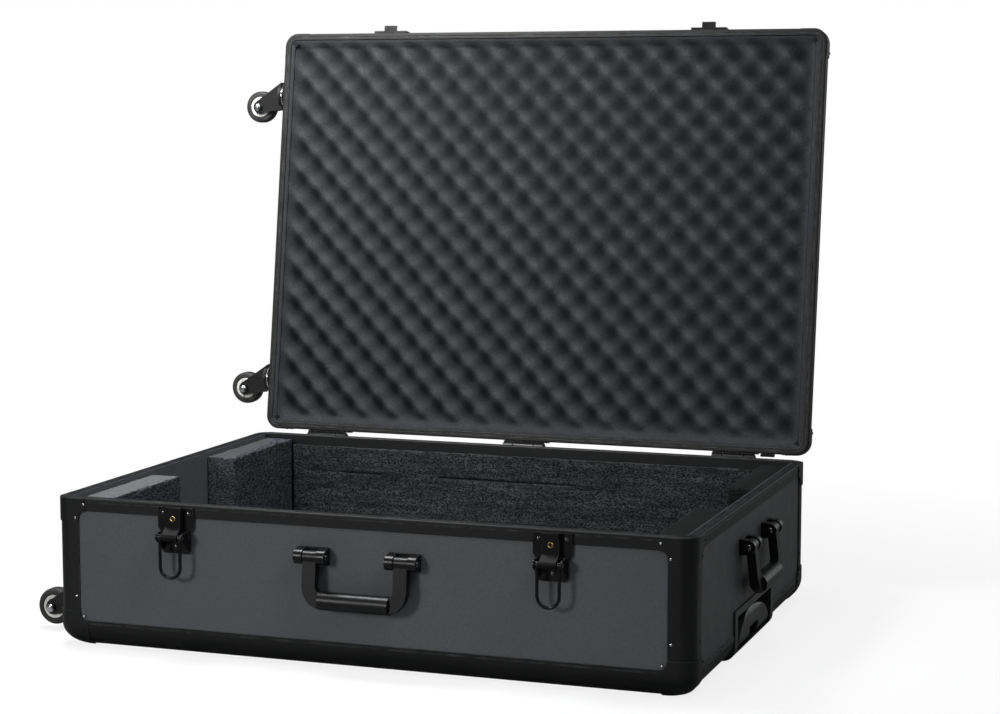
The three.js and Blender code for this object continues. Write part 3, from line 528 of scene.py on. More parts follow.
def make_bottom_frame():
    outside = [(0.4, BAND_TOP), (0, BAND_TOP - 0.4), (0, 30.4), (0.5, 30.0), (0.5, 29.2), (0, 28.8)]
    outside += [(EDGE_RADIUS - x, EDGE_RADIUS - z) for x, z in arc(0, 0, EDGE_RADIUS, 0, 90, 10)]
    inside = [(30, 0), (30, 6.7), (36, 6.7), (36, 9.7), (10, 9.7), (10, BAND_TOP), (8.3, BAND_TOP),
              (8.3, 29.7), (SKIN, 29.7), (SKIN, BAND_TOP)]
    bm = bmesh.new()
    add_swept(bm, swept_section(outside + inside, len(outside)), gap=box_mm("trolley_housing")[1].y + GAP)
    piece("bottom_frame_profile", bm, "base", PROFILE, ["bottom_frame"])


def make_rim_frame():
    outside = [(SKIN, RIM_BOTTOM), (0.3, RIM_BOTTOM), (0, RIM_BOTTOM + 0.3), (0, RIM_TOP - 5.2),
               (0.35, RIM_TOP - 4.9), (0.35, RIM_TOP - 4.3), (0, RIM_TOP - 4.0)]
    outside += [(1.6 - x, RIM_TOP - 1.6 + z) for x, z in arc(0, 0, 1.6, 0, 90, 4)]
    inside = groove(4.4, RIM_TOP, 1.4, 0.8) + groove(8.6, RIM_TOP, 1.4, 0.8)
    inside += [(RIM_WIDTH - 0.8, RIM_TOP), (RIM_WIDTH, RIM_TOP - 0.8), (RIM_WIDTH, RIM_BOTTOM),
               (8.3, RIM_BOTTOM), (8.3, RIM_TOP - 4.3), (SKIN, RIM_TOP - 4.3)]
    bm = bmesh.new()
    add_swept(bm, swept_section(outside + inside, len(outside)))
    made = piece("rim_frame_profile", bm, "base", PROFILE, ["rim_frame"])
    # Painted highlight along the rim's rounded outer top edge.
    paint_lip_highlight(made, lambda inset, z: inset < 1.4 and z > RIM_TOP - 1.4)


LIP_BEAD = 0.8        # the lid frame's lip stands this far proud of its side
LINER_EDGE = 8.6      # the liner's border covers the frame's face up to here, in a shallow rebate
REBATE = 2.4


def make_lid_frame():
    outside = [(1.0 - x, LID_LOW + 1.8 - z) for x, z in reversed(arc(0, 0, 1.8, 0, 90, 4))]
    outside += [(-LIP_BEAD, LID_LOW + 4.2), (0, LID_LOW + 5.0)]
    outside += [(0, LID_TOP - EDGE_RADIUS - 3.2), (0.5, LID_TOP - EDGE_RADIUS - 2.8),
                (0.5, LID_TOP - EDGE_RADIUS - 2.0), (0, LID_TOP - EDGE_RADIUS - 1.6)]
    outside += [(EDGE_RADIUS - x, LID_TOP - EDGE_RADIUS + z) for x, z in arc(0, 0, EDGE_RADIUS, 0, 90, 10)]
    inside = [(30, LID_TOP), (30, LID_TOP - 6.7), (36, LID_TOP - 6.7), (36, LID_TOP - 9.7),
              (RIM_WIDTH, LID_TOP - 9.7), (RIM_WIDTH, LID_LOW + REBATE), (LINER_EDGE - 0.3, LID_LOW + REBATE),
              (LINER_EDGE - 0.3, LID_LOW + 0.5), (LINER_EDGE - 0.8, LID_LOW)]
    inside += [(inset, 2 * LID_LOW - z) for inset, z in reversed(groove(4.4, LID_LOW, 1.4, 0.8))]
    bm = bmesh.new()
    add_swept(bm, swept_section(outside + inside, len(outside)))
    made = piece("lid_frame_profile", bm, "lid", PROFILE, ["lid_frame"], opened=True)
    # Painted highlight over the lid frame's parting face.
    paint_lip_highlight(made, lambda inset, z: z < LID_LOW + 2)


def make_panels_and_posts():
    for node in ("front_panel", "back_panel", "bottom_panel", "lid_panel"):
        from_node(node, LAMINATE, bevel=0.3)
    # The side panels take the shaded copy of the laminate, a painted shade.
    for node in ("left_panel", "right_panel"):
        from_node(node, SHADED_SIDE_LAMINATE, bevel=0.3)
    for corner in CORNERS:
        from_node("corner_post_" + corner, PROFILE, bevel=0.25)


# ------------------------------------------------------------ corner caps

def corner_run(sx, sy, reach, inset, radius, columns):
    """Points round one corner of the plan outline, from one clipping plane at reach to the other."""
    straight = max(reach - inset - radius, 0)
    start = 0
    if straight == 0:
        start = math.pi / 2 - math.acos(min(1, max(0, (inset + radius - reach) / radius)))
    bend = math.pi / 2 - 2 * start
    total = 2 * straight + radius * bend
    cx, cy = HALF_X - inset - radius, HALF_Y - inset - radius
    points = []
    for k in range(columns + 1):
        run = total * k / columns
        if run < straight:
            x, y = HALF_X - reach + run, cy + radius
        elif run > total - straight:
            x, y = cx + radius, HALF_Y - reach + (total - run)
        else:
            turn = math.pi / 2 - start - (run - straight) / radius
            x, y = cx + radius * math.cos(turn), cy + radius * math.sin(turn)
        points.append((sx * x, sy * y))
    return points


def add_corner_cap(bm, sx, sy, reach, border, turn_height, end_height, rows=5):
    """A pressed cap over one corner: a wall down from border, then round the edge to end_height.

    Heights are measured from the big flat face that the edge rounds into. border gives the wall's free edge
    from the distance to the corner.
    """
    columns, turned_rows = 60, 9
    grids = []
    for grow in (GAP + CAP_THICKNESS, GAP):
        wall = corner_run(sx, sy, reach, -grow, CORNER_RADIUS + grow, columns)
        reaches = [max(HALF_X - abs(x), HALF_Y - abs(y)) for x, y in wall]
        grid = [[Vector((x, y, border(d) + (turn_height - border(d)) * i / rows))
                 for (x, y), d in zip(wall, reaches)]
                for i in range(rows + 1)]
        last = math.asin((EDGE_RADIUS - end_height) / (EDGE_RADIUS + grow)) if end_height < turn_height else 0
        for i in range(1, turned_rows + 1 if last else 0):
            turn = last * i / turned_rows
            inset = EDGE_RADIUS - (EDGE_RADIUS + grow) * math.cos(turn)
            height = EDGE_RADIUS - (EDGE_RADIUS + grow) * math.sin(turn)
            level = corner_run(sx, sy, reach, inset, CORNER_RADIUS + grow, columns)
            grid.append([Vector((x, y, height)) for x, y in level])
        grids.append(grid)
    add_sheet(bm, *grids)


def fillet_border(leg, band, leg_end, band_edge):
    """The free edge of a cap: along the leg's end, then a concave fillet out to the band's edge."""
    radius = band - leg
    rise = 1 if leg_end > band_edge else -1

    def edge(distance):
        if distance <= leg:
            return leg_end
        if distance >= band:
            return band_edge
        return band_edge + rise * (radius - math.sqrt(radius ** 2 - (band - distance) ** 2))
    return edge


def make_corner_caps():
    top_wall = RIM_TOP - 0.7
    for corner, (sx, sy) in CORNERS.items():
        bm = bmesh.new()
        add_corner_cap(bm, sx, sy, 41, fillet_border(POST_LEG, 40, 44.6, BAND_TOP + 0.6), EDGE_RADIUS, 0.4)
        piece(f"corner_cap_{corner}_pressing", bm, "base", CAP, [f"corner_cap_{corner}"], bevel=0.35,
              crease=40)

        bm = bmesh.new()
        rim_border = fillet_border(POST_LEG, 39, 154, RIM_BOTTOM - 0.6)
        add_corner_cap(bm, sx, sy, 40, rim_border, top_wall, top_wall, rows=8)
        piece(f"rim_corner_{corner}", bm, "base", CAP, bevel=0.35, crease=40)

        bm = bmesh.new()
        lid_wall = LID_TOP - LID_LOW - 2
        add_corner_cap(bm, sx, sy, 36, lambda distance: lid_wall, EDGE_RADIUS, 0.6)
        for vertex in bm.verts:
            vertex.co.z = LID_TOP - vertex.co.z
        piece(f"lid_corner_{corner}_pressing", bm, "lid", CAP, [f"lid_corner_{corner}"], opened=True,
              bevel=0.35, crease=40)


# ------------------------------------------------------------ rivets

def make_rivets():
    """Rivet heads along the posts and caps of the base, and on the lid's corners."""
    proud = GAP + CAP_THICKNESS
    size, rise, lid_rise = 1.6, 1.0, 0.6
    # Distance from the corner, height, and how far the surface stands out from the profile.
    spots = [(39, 176.5, proud), (POST_LEG - 3.5, 159.5, proud), (POST_LEG - 4.5, 63, 0), (36.5, 38.5, proud)]
    bright = bmesh.new()
    # The base's side rivets take the black hardware look as painted shade; the same rivets on the front and back
    # are bright steel.
    dark = bmesh.new()
    lid = bmesh.new()
    for sx, sy in CORNERS.values():
        for distance, z, lift in spots:
            out = lift - (0.3 if z < BAND_TOP + 6 else 0)
            add_rivet(bright, (sx * (HALF_X - distance), sy * (HALF_Y + out), z), (0, sy, 0), size, rise)
            add_rivet(dark, (sx * (HALF_X + out), sy * (HALF_Y - distance), z), (sx, 0, 0), size, rise)
        for distance, height in ((30, 6), (30, 22)):
            z = LID_LOW + height
            add_rivet(lid, (sx * (HALF_X - distance), sy * (HALF_Y + proud), z), (0, sy, 0), size, lid_rise)
            add_rivet(lid, (sx * (HALF_X + proud), sy * (HALF_Y - distance), z), (sx, 0, 0), size, lid_rise)
    band_middle = 30.8
    for y in (-168, 170):
        for side in (1, -1):
            add_rivet(dark, (side * HALF_X, y, band_middle), (side, 0, 0), 1.9, 0.9)
    piece("base_rivets", bright, "base", STEEL)
    piece("base_side_rivets_shaded", dark, "base", HARDWARE)
    piece("lid_rivets", lid, "lid", HARDWARE, opened=True)


# ------------------------------------------------------------ foam

def lattice(low, high, cell, extra=()):
    """Evenly spaced coordinates from low to high, and the extra ones between them."""
    count = max(1, round((high - low) / cell))
    lines = [low + (high - low) * k / count for k in range(count + 1)]
    lines = [line for line in lines if all(abs(line - own) > 0.7 for own in extra) or line in (low, high)]
    return sorted(lines + [own for own in extra if low < own < high])


def add_foam_block(bm, low, high, cell, rounding, rough, seed, cut_at=None, extra_z=()):
    """A rough foam block: a box on a lattice, with soft edges and torn faces.

    cut_at gives how deep a cut goes in at a point of its surface.
    """
    low, high = Vector(low), Vector(high)
    lines = [lattice(low[a], high[a], cell, extra_z if a == 2 else ()) for a in range(3)]
    offset = Vector((seed * 17.3, seed * 5.9, seed * 11.1))
    made = {}

    def vertex(*index):
        if index not in made:
            p = Vector([lines[a][index[a]] for a in range(3)])
            core = Vector([min(max(p[a], low[a] + rounding), high[a] - rounding) for a in range(3)])
            outwards = (p - core).normalized()
            torn = noise.noise((p + offset) * 0.25) + 0.6 * noise.noise((p + offset) * 0.07)
            cut = cut_at(p) if cut_at else 0
            made[index] = bm.verts.new(core + outwards * (rounding + rough * (torn - 0.75) - cut))
        return made[index]

    for a in range(3):
        b, c = (a + 1) % 3, (a + 2) % 3
        for side in (0, len(lines[a]) - 1):
            for i in range(len(lines[b]) - 1):
                for j in range(len(lines[c]) - 1):
                    corners = []
                    for di, dj in ((0, 0), (1, 0), (1, 1), (0, 1)):
                        index = [0, 0, 0]
                        index[a], index[b], index[c] = side, i + di, j + dj
                        corners.append(vertex(*index))
                    bm.faces.new(corners)


FOAM_X = HALF_X - 14.5
FOAM_Y = HALF_Y - 13.5
WELL_X = 344
WELL_Y = 266
NOTCH = (-70, 85)
FOAM_WALL_TOP = 171
UNDER_FOAM = 30
SEAM = 134.5
SEAM_RUNS = ((-264, -197), (-114, 85))


def seam_cut(point):
    """Depth of the partial cuts along the long foam walls."""
    if abs(point.z - SEAM) > 0.4 or abs(point.y) > WELL_Y + 2:
        return 0
    return 2.2 if any(start < point.x < end for start, end in SEAM_RUNS) else 0.25


def make_foam_lining():
    """The base's lining: long walls with a sawn cut along them, and four side blocks beside the notches."""
    long_walls = bmesh.new()
    half = WELL_X - 3.2
    for sy in (-1, 1):
        y = sorted((sy * WELL_Y, sy * FOAM_Y))
        add_foam_block(long_walls, (-half, y[0], FOAM_FLOOR), (half, y[1], FOAM_WALL_TOP), 3.2, 1.4, 1.3, sy,
                       seam_cut, (SEAM - 1.2, SEAM, SEAM + 1.2))
    piece("foam_long_walls", long_walls, "base", ROUGH_FOAM, ["foam_tray"], crease=75)

    housing = box_mm("trolley_housing")[1]
    keep_out = housing.y + 3.5
    keep_top = housing.z + 3.5
    behind = box_mm("trolley_handle")[1].x - 32
    blocks = {-1: bmesh.new(), 1: bmesh.new()}
    for sx, bm in blocks.items():
        for y0, y1 in ((-FOAM_Y, NOTCH[0]), (NOTCH[1], FOAM_Y)):
            x = sorted((sx * WELL_X, sx * FOAM_X))
            foot = keep_top + 0.6 if sx > 0 else FOAM_FLOOR
            add_foam_block(bm, (x[0], y0, foot), (x[1], y1, FOAM_TOP), 3.6, 1.8, 0.9, sx + y0)
            if sx < 0:
                continue
            clear = (y0, -keep_out) if y0 < 0 else (keep_out, y1)
            add_foam_block(bm, (x[0], clear[0], FOAM_FLOOR), (x[1], clear[1], keep_top), 5.0, 1.6, 0.6, y0)
            tight = (-keep_out + 0.4, y1) if y0 < 0 else (y0, keep_out - 0.4)
            add_foam_block(bm, (x[0], tight[0], FOAM_FLOOR), (behind, tight[1], keep_top), 5.0, 1.6, 0.6, y0)
    # The right-hand blocks and their tops take darker copies of the foam and skin: painted shade.
    for sx, where, side_look in ((-1, "left", SIDE_FOAM), (1, "right", DARK_FOAM)):
        made = piece("foam_blocks_" + where, blocks[sx], "base", side_look, crease=75)
        # The near tops keep the skin's own tone; the far tops take its darker copy, painted shade.
        for skin in (SKIN_FOAM, FAR_SHADED_SKIN_FOAM) if sx < 0 else (SHADED_SKIN_FOAM, SHADED_SKIN_FOAM):
            made.data.materials.append(skin)
        for face in made.data.polygons:
            middle = face.center / MM
            skin_edge = WELL_X + 3.5 + max(0.0, middle.y - NOTCH[1]) * 0.11
            if face.normal.z > 0.6 and middle.z > FOAM_TOP - 6 and abs(middle.x) > skin_edge:
                face.material_index = 1 if middle.y < 0 else 2
    make_end_linings()

    floor = bmesh.new()
    floor_top = FOAM_FLOOR - 0.3
    add_foam_block(floor, (-FOAM_X, -FOAM_Y, UNDER_FOAM), (behind, FOAM_Y, floor_top), 9.0, 1.6, 0.5, 7)
    for sy in (-1, 1):
        y = sorted((sy * (keep_out + 0.5), sy * FOAM_Y))
        add_foam_block(floor, (behind + 0.5, y[0], UNDER_FOAM), (FOAM_X, y[1], floor_top), 6.0, 1.6, 0.5,
                       9 + sy)
    piece("foam_floor", floor, "base", ROUGH_FOAM, crease=60)


def make_end_linings():
    """Smooth felt on the end walls, behind the side blocks and bare in the notches between them."""
    for sx, where in ((-1, "left"), (1, "right")):
        x = sorted((sx * (FOAM_X + 1.1), sx * (FOAM_X + 0.3)))
        low = FOAM_FLOOR if sx < 0 else box_mm("trolley_housing")[1].z + 4.2
        front, back, top = -HALF_Y + 17.5, HALF_Y - 17.5, RIM_TOP - 0.7
        bm = bmesh.new()
        add_prism(bm, [(front, low), (back, low), (back, top), (front, top)], "x", *x)
        piece("end_lining_" + where, bm, "base", FELT, bevel=0.2)


EGG_PITCH = 46
EGG_DEPTH = 15
EGG_BORDER = 4
EGG_FADE = 14
EGG_SLANT = 0.74      # share of the waves that run down to the right, seen from inside
EGG_FLAT = 0.7        # level of the flat border, between hollow 0 and crest 1


def make_lid_foam():
    """The lid's egg-crate liner: a block whose face is crossed waves with a flat border."""
    half_x, half_y, corner = HALF_X - LINER_EDGE, HALF_Y - LINER_EDGE, 9.4
    face, back = LID_LOW + 0.2, LID_TOP - 10.2
    columns, rows = 172, 122
    bm = bmesh.new()
    height = bm.verts.layers.float.new("height")

    def rounded(x, y, half_x, half_y, corner):
        dx, dy = abs(x) - half_x + corner, abs(y) - half_y + corner
        if dx > 0 and dy > 0:
            shrink = max(dx, dy) / math.hypot(dx, dy)
            dx, dy = dx * shrink, dy * shrink
            return math.copysign(half_x - corner + dx, x), math.copysign(half_y - corner + dy, y)
        return x, y

    grid = []
    for i in range(rows + 1):
        row = []
        for j in range(columns + 1):
            across, along = half_x * (2 * j / columns - 1), half_y * (2 * i / rows - 1)
            x, y = rounded(across, along, half_x, half_y, corner)
            margin = min(half_x - abs(x), half_y - abs(y))
            blend = min(max((margin - EGG_BORDER) / EGG_FADE, 0), 1)
            blend = blend * blend * (3 - 2 * blend)
            rising, falling = (math.cos(2 * math.pi * (x + s * y) / EGG_PITCH) for s in (1, -1))
            level = 0.5 + 0.5 * (EGG_SLANT * falling + (1 - EGG_SLANT) * rising)
            wobble = 0.5 * noise.noise(Vector((x, y, 3)) * 0.05) + 0.25 * noise.noise(Vector((x, y, 9)) * 0.2)
            tall = EGG_FLAT + (level - EGG_FLAT) * blend
            covered = min(1, max(0, (margin - EGG_BORDER) / 3))
            depth = covered * (EGG_DEPTH * (1 - tall) + max(0.0, 0.9 + wobble)) + 0.4
            if margin < 2:
                depth += 1.0 * (1 - margin / 2) ** 2
            vertex = bm.verts.new((x, y, face + depth))
            # The crest level, which the liner's look turns into painted shade in the hollows.
            vertex[height] = min(1, max(0, tall))
            row.append(vertex)
        grid.append(row)
    for i in range(rows):
        for j in range(columns):
            bm.faces.new((grid[i][j], grid[i + 1][j], grid[i + 1][j + 1], grid[i][j + 1]))
    border = grid[0] + [row[-1] for row in grid[1:]] + grid[-1][-2::-1] + [row[0] for row in grid[-2:0:-1]]
    inner = [rounded(v.co.x * FOAM_X / half_x, v.co.y * FOAM_Y / half_y, FOAM_X, FOAM_Y, 4.5) for v in border]
    ledge = LID_LOW + REBATE - 0.2
    rings = [border, [bm.verts.new((v.co.x, v.co.y, ledge)) for v in border]]
    rings += [[bm.verts.new((x, y, z)) for x, y in inner] for z in (ledge, back)]
    join_rings(bm, rings)
    bm.faces.new(rings[-1])
    piece("lid_liner", bm, "lid", LID_FOAM, ["lid_foam"], opened=True, crease=60)


# ------------------------------------------------------------ hinges and stop

def make_hinges():
    for place in ("left", "middle", "right"):
        from_node("hinge_base_leaf_" + place, HARDWARE, bevel=0.3)
        from_node("hinge_lid_leaf_" + place, HARDWARE, bevel=0.3)
        low, high = box_mm("hinge_base_leaf_" + place)
        middle = (low.x + high.x) / 2
        bm = bmesh.new()
        for dx in (-20, 0, 20):
            add_rivet(bm, (middle + dx, HALF_Y + GAP + 2.1, RIM_TOP - 31), (0, 1, 0), 2.4, 1.2)
        for side in (-1, 1):
            add_rivet(bm, (middle + side * (high.x - low.x) / 2, PIN.y, PIN.z), (side, 0, 0), 3.2, 1.4)
        # Two small heads on the lid's knuckle, which the lid's collar covers.
        for side in (-1, 1):
            add_rivet(bm, (middle + side * 9, PIN.y - 1.2, PIN.z + 3.6), (0, -0.4, 1), 1.3, 0.7)
        piece(f"hinge_rivets_{place}", bm, "base", DARK_STEEL)
        make_hinge_barrel(place, middle)


def make_lid_stop():
    """A small block under the lid's edge beside the right hinge, drawn where it is on the open lid."""
    low, high, edge = PIN.z + 5.4, PIN.z + 8.8, PIN.y + 6
    profile = [(PIN.y - 2, low), (PIN.y - 2, high), (edge - 1.4, high), (edge, high - 0.2), (edge, low + 1.5),
               (edge - 1.5, low)]
    bm = bmesh.new()
    add_prism(bm, profile, "x", 337.5, 356)
    piece("lid_stop", bm, "lid", HARDWARE, bevel=0.4)


def add_collar(bm, centre, low, high):
    """A thick ring round the hinge pin with eased ends."""
    add_lathe(bm, eased_ring(3.0, 7.4, low, high, 0.4, 0.5), "x", centre, 28)


def make_hinge_barrel(place, middle):
    """Collars that fill out the knuckles, and the strip on the lid just above them when it stands open."""
    centre, half = (middle, PIN.y, PIN.z), 29.6
    bm = bmesh.new()
    add_collar(bm, centre, -half, -15.5)
    add_collar(bm, centre, 15.5, half)
    piece(f"hinge_base_collars_{place}", bm, "base", HARDWARE)
    bm = bmesh.new()
    add_collar(bm, centre, -14.9, 14.9)
    low, high = PIN.z + 7.7, PIN.z + 8.8
    strip = [(PIN.y - 2.5, low), (PIN.y + 6, low), (PIN.y + 6, high), (PIN.y - 2.5, high)]
    add_prism(bm, strip, "x", middle - half, middle + half)
    piece(f"hinge_lid_collar_{place}", bm, "lid", HARDWARE)


# ------------------------------------------------------------ latches

def make_latches():
    for side in ("left", "right"):
        from_node("latch_plate_" + side, HARDWARE, bevel=0.3)
        from_node("latch_lever_" + side, LEVER, bevel=0.7, segments=3)
        from_node("lid_catch_" + side, HARDWARE, bevel=0.3)
        pivot = Vector(JOINT[f"latch_bail_{side}_pivot"]["pos_m"]) / MM
        make_bail(side, pivot)
        make_key(side)
        face = -HALF_Y - GAP - 2.2
        reach = (box_mm("latch_bail_" + side)[1].x - pivot.x) + 2.4
        bm = bmesh.new()
        for dx, z, radius in ((-16.6, 173.5, 2.3), (16.6, 173.5, 2.3), (0, 134, 2.2), (13.4, 151, 1.5)):
            add_rivet(bm, (pivot.x + dx, face, z), (0, -1, 0), radius, 1.3)
        for end in (-1, 1):
            add_rivet(bm, (pivot.x + end * reach, pivot.y, pivot.z), (end, 0, 0), 2.2, 0.9)
        piece(f"latch_rivets_{side}", bm, BODY_OF["latch_plate_" + side], DARK_STEEL)


def make_bail(side, pivot):
    low, high = box_mm("latch_bail_" + side)
    wire = 2.0
    half = (high.x - low.x) / 2 - wire + 0.4
    foot = low.z + wire + half
    path = [(pivot.x - half, pivot.y, pivot.z)]
    path += [(pivot.x + x, pivot.y, foot + z) for x, z in arc(0, 0, half, 180, 360, 20)]
    path += [(pivot.x + half, pivot.y, pivot.z)]
    bm = bmesh.new()
    add_tube(bm, path, wire, 14)
    eye = eased_ring(1.9, 3.4, -wire, wire, 0.3, 0.4)
    for end in (-1, 1):
        add_lathe(bm, eye, "x", (pivot.x + end * half, pivot.y, pivot.z), 24)
    piece(f"latch_bail_{side}_wire", bm, BODY_OF["latch_bail_" + side], HARDWARE, ["latch_bail_" + side])


def make_key(side):
    node = "latch_key_" + side
    low, high = box_mm(node)
    centre = (low + high) / 2
    radius = (high.x - low.x) / 2
    front = low.y - centre.y
    back = high.y - centre.y
    ring = [(radius - 1.3, back), (radius, back), (radius, front + 0.3), (radius - 0.4, front - 0.3),
            (radius - 0.9, front - 0.3), (radius - 1.3, front + 0.2)]
    turned_piece(f"{node}_ring", ring, "y", centre, 32, BODY_OF[node], BRASS, [node])
    bm = bmesh.new()
    core = radius - 1.35
    slot_half = 0.45
    end = math.degrees(math.asin(slot_half / core))
    for start in (end, 180 + end):
        outline = arc(0, 0, core, start, start + 180 - 2 * end, 14)
        outline = [(centre.x + x, centre.z + z) for x, z in outline]
        add_prism(bm, outline, "y", centre.y + front + 0.45, high.y)
    piece(f"{node}_core", bm, BODY_OF[node], CORE)


# ------------------------------------------------------------ carry handles

HANDLE_SPACING = 114
BRACKET_HALF = 19.5


def make_carry_handle(name, turn, centre):
    """Two brackets with pivot screws, and the moulded loop between them."""
    for end in ("a", "b"):
        from_node(f"{name}_bracket_{end}", HARDWARE, bevel=0.8, segments=3)
    from_node(f"{name}_loop", PLASTIC, bevel=2.2, segments=3)
    placed = Matrix.Translation(centre) @ Matrix.Rotation(turn, 4, "Z")
    bm = bmesh.new()
    for side in (-1, 1):
        for end in (-1, 1):
            x = side * HANDLE_SPACING / 2 + end * BRACKET_HALF
            add_rivet(bm, (x, 0, 0), (end, 0, 0), 4.2, 1.6, 20)
    bm.transform(placed)
    piece(f"{name}_screws", bm, "base", DARK_STEEL)


def make_carry_handles():
    for name, joint in (("front_handle", "front_handle_pivot"), ("side_handle", "side_handle_pivot")):
        pivot = Vector(JOINT[joint]["pos_m"]) / MM
        make_carry_handle(name, 0 if abs(pivot.y) > abs(pivot.x) else math.pi / 2, pivot)


# ------------------------------------------------------------ trolley handle

def make_trolley():
    from_node("trolley_housing", TROLLEY_PLASTIC, bevel=0.8)
    from_node("trolley_handle", TROLLEY_PLASTIC, bevel=1.0)


# ------------------------------------------------------------ casters

WHEEL_RADIUS = 23
TYRE_HALF = 8.6
TYRE_ROUNDING = 4.2


def make_caster(name):
    swivel = Vector(JOINT[name + "_swivel_turn"]["pos_m"]) / MM
    axle = Vector(JOINT[name + "_wheel_spin"]["pos_m"]) / MM
    from_node(name + "_plate", CASTER_PLASTIC, bevel=0.9)
    from_node(name + "_fork", FORK, bevel=0.5)
    wheel_body = BODY_OF[name + "_wheel"]
    fork_body = BODY_OF[name + "_fork"]

    shoulder = arc(WHEEL_RADIUS - TYRE_ROUNDING, TYRE_ROUNDING - TYRE_HALF, TYRE_ROUNDING, -80, 0, 4)
    tyre = both_ways([(14.8, -7.4), (16.0, -TYRE_HALF)] + shoulder)
    hub = both_ways([(10.2, -7.0), (10.8, -7.8), (14.2, -8.2), (14.7, -7.8)])
    core = both_ways([(3.8, -8.3), (7.6, -8.3), (8.4, -7.2), (9.0, -6.4), (10.1, -6.4)])
    turned_piece(name + "_tyre", tyre, "y", axle, 48, wheel_body, RUBBER, [name + "_wheel"])
    turned_piece(name + "_hub", hub, "y", axle, 48, wheel_body, HUB)
    turned_piece(name + "_bearing", core, "y", axle, 40, wheel_body, RUBBER)

    reach = box_mm(name + "_fork")[1].y - axle.y
    bm = bmesh.new()
    for end in (-1, 1):
        add_rivet(bm, (axle.x, axle.y + end * (reach - 1.6), axle.z), (0, end, 0), 5.4, 3.2, 24)
    piece(name + "_bolt", bm, fork_body, STEEL)

    race = eased_ring(11, 18.2, -11.2, -8.6, 0.6, 0.6)
    turned_piece(name + "_race", race, "x", swivel, 40, BODY_OF[name + "_plate"], STEEL)


def make_casters():
    for name in ("caster_base_front", "caster_base_back", "caster_lid_front", "caster_lid_back"):
        make_caster(name)


# ------------------------------------------------------------ stage

def area_light(name, place, aim, size, power, color, spread=180, diffuse=True):
    data = bpy.data.lights.new(name, "AREA")
    data.spread = math.radians(spread)
    data.size = size
    data.energy = power
    data.color = color
    lamp = bpy.data.objects.new(name, data)
    SCENE.collection.objects.link(lamp)
    lamp.visible_diffuse = diffuse
    lamp.location = place
    lamp.rotation_euler = (Vector(aim) - Vector(place)).to_track_quat("-Z", "Y").to_euler()


def floor_look():
    """A pale studio floor that fades into the bright backdrop and sends little light back up at the case."""
    look = Look("floor", "")
    cloud = look.ramp(look.noise(900, 2), 0.3, 0.7)
    look.set(color=look.mix(cloud, (0.88, 0.88, 0.88, 1), (0.9, 0.9, 0.895, 1)), rough=0.9, specular=0.1)
    glow = look.node("Emission")
    glow.inputs["Strength"].default_value = 1.0
    length = look.node("VectorMath")
    length.operation = "LENGTH"
    look.link(look.place, length.inputs[0])
    seen = look.node("MixShader")
    look.link(look.ramp(length.outputs["Value"], 0.5, 1.3, 0.82, 1.0), seen.inputs["Fac"])
    look.link(look.shader.outputs["BSDF"], seen.inputs[1])
    look.link(glow.outputs["Emission"], seen.inputs[2])
    bounce = look.node("BsdfDiffuse")
    bounce.inputs["Color"].default_value = (0.3, 0.3, 0.3, 1)
    path = look.node("LightPath")
    either = look.node("MixShader")
    look.link(path.outputs["Is Camera Ray"], either.inputs["Fac"])
    look.link(bounce.outputs["BSDF"], either.inputs[1])
    look.link(seen.outputs["Shader"], either.inputs[2])
    look.link(either.outputs["Shader"], look.tree.nodes["Material Output"].inputs["Surface"])
    return look


def make_floor():
    """A level square well past the camera's view, just under the case, in metres."""
    bm = bmesh.new()
    half = 30
    square = ((-half, -half), (half, -half), (half, half), (-half, half))
    bm.faces.new([bm.verts.new((x, y, -0.0005)) for x, y in square])
    mesh = bpy.data.meshes.new("floor")
    bm.to_mesh(mesh)
    bm.free()
    look = floor_look()
    mesh.materials.append(look.material)
    floor = bpy.data.objects.new("floor", mesh)
    SCENE.collection.objects.link(floor)


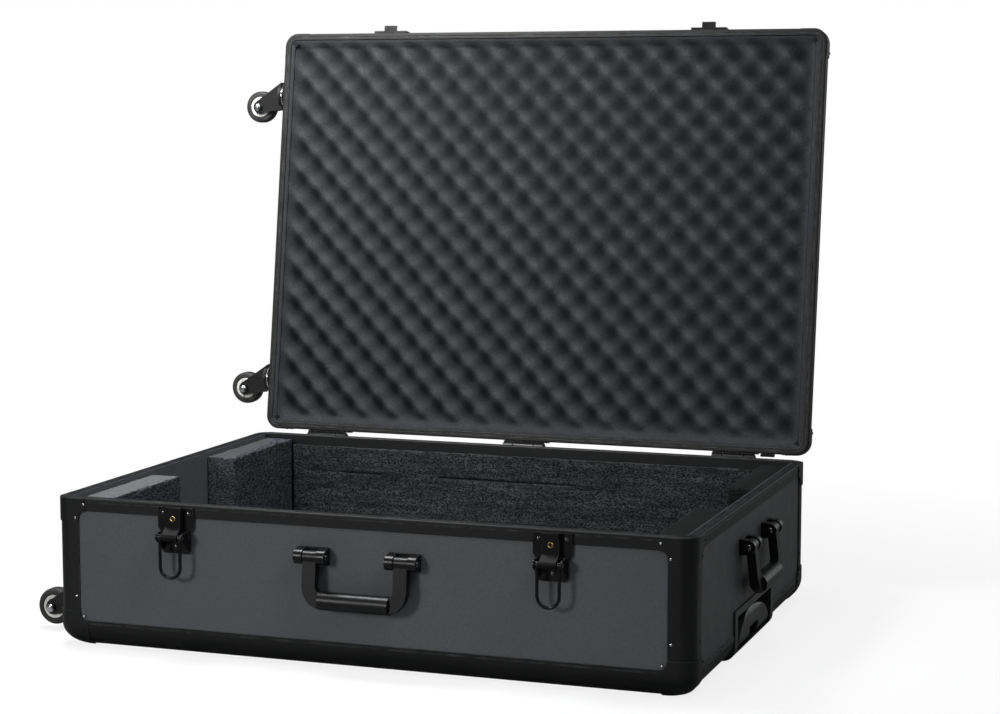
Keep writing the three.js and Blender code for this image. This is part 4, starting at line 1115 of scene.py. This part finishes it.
def make_backdrop():
    """White where the camera sees it, and a dim cool ambient light for everything else."""
    world = bpy.data.worlds.new("studio")
    SCENE.world = world
    world.use_nodes = True
    tree = world.node_tree
    seen = tree.nodes["Background"]
    seen.inputs["Color"].default_value = (1, 1, 1, 1)
    seen.inputs["Strength"].default_value = 1.0
    ambient = tree.nodes.new("ShaderNodeBackground")
    ambient.inputs["Color"].default_value = (0.93, 0.96, 1.0, 1)
    ambient.inputs["Strength"].default_value = 0.15
    path = tree.nodes.new("ShaderNodeLightPath")
    mixed = tree.nodes.new("ShaderNodeMixShader")
    tree.links.new(path.outputs["Is Camera Ray"], mixed.inputs["Fac"])
    tree.links.new(ambient.outputs["Background"], mixed.inputs[1])
    tree.links.new(seen.outputs["Background"], mixed.inputs[2])
    tree.links.new(mixed.outputs["Shader"], tree.nodes["World Output"].inputs["Surface"])


def make_lights():
    """Soft lights: each has its place, what it points at, its size, power and colour."""
    area_light("key", (-1.5, -3.4, 1.15), (-0.08, -0.3, 0.02), 0.8, 4.6, (1.0, 0.99, 0.96), spread=50)
    area_light("lid", (-0.44, -0.14, 1.24), (-0.1, 0.3, 0.5), 0.42, 21, (0.99, 0.99, 1.0))
    area_light("inside", (1.0, -0.8, 1.5), (-0.34, 0.1, 0.12), 0.6, 1.6, (0.97, 0.98, 1.0), spread=55)
    area_light("top", (0.1, 0.5, 2.4), (0, 0, 0), 1.2, 16, (1.0, 1.0, 1.0))
    area_light("side", (3.0, -0.6, 1.6), (0.4, 0, 0.1), 1.2, 5, (0.95, 0.98, 1.0))
    area_light("back_card", (2.6, 4.2, 0.6), (0.4, 0, 0.1), 3.0, 26, (0.98, 0.99, 1.0), diffuse=False)


def make_camera():
    """The photograph's viewing angle, fitted to the case's straight edges: front right, with a long lens."""
    target = Vector((0.070379, 0.0, 0.341204))
    distance, yaw, pitch = 2.821736, math.radians(19.58), math.radians(6.467)
    back = Vector((math.sin(yaw) * math.cos(pitch), -math.cos(yaw) * math.cos(pitch), math.sin(pitch)))
    data = bpy.data.cameras.new("camera")
    data.sensor_width = 36
    data.lens = 80.84
    camera = bpy.data.objects.new("camera", data)
    SCENE.collection.objects.link(camera)
    camera.location = target + distance * back
    camera.rotation_euler = (-back).to_track_quat("-Z", "Y").to_euler()
    SCENE.camera = camera


# ------------------------------------------------------------ everything together

SCENE.view_settings.view_transform = "Standard"
make_bottom_frame()
make_rim_frame()
make_lid_frame()
make_panels_and_posts()
make_corner_caps()
make_rivets()
make_foam_lining()
make_lid_foam()
make_hinges()
make_lid_stop()
make_latches()
make_carry_handles()
make_trolley()
make_casters()
make_floor()
make_backdrop()
make_lights()
make_camera()
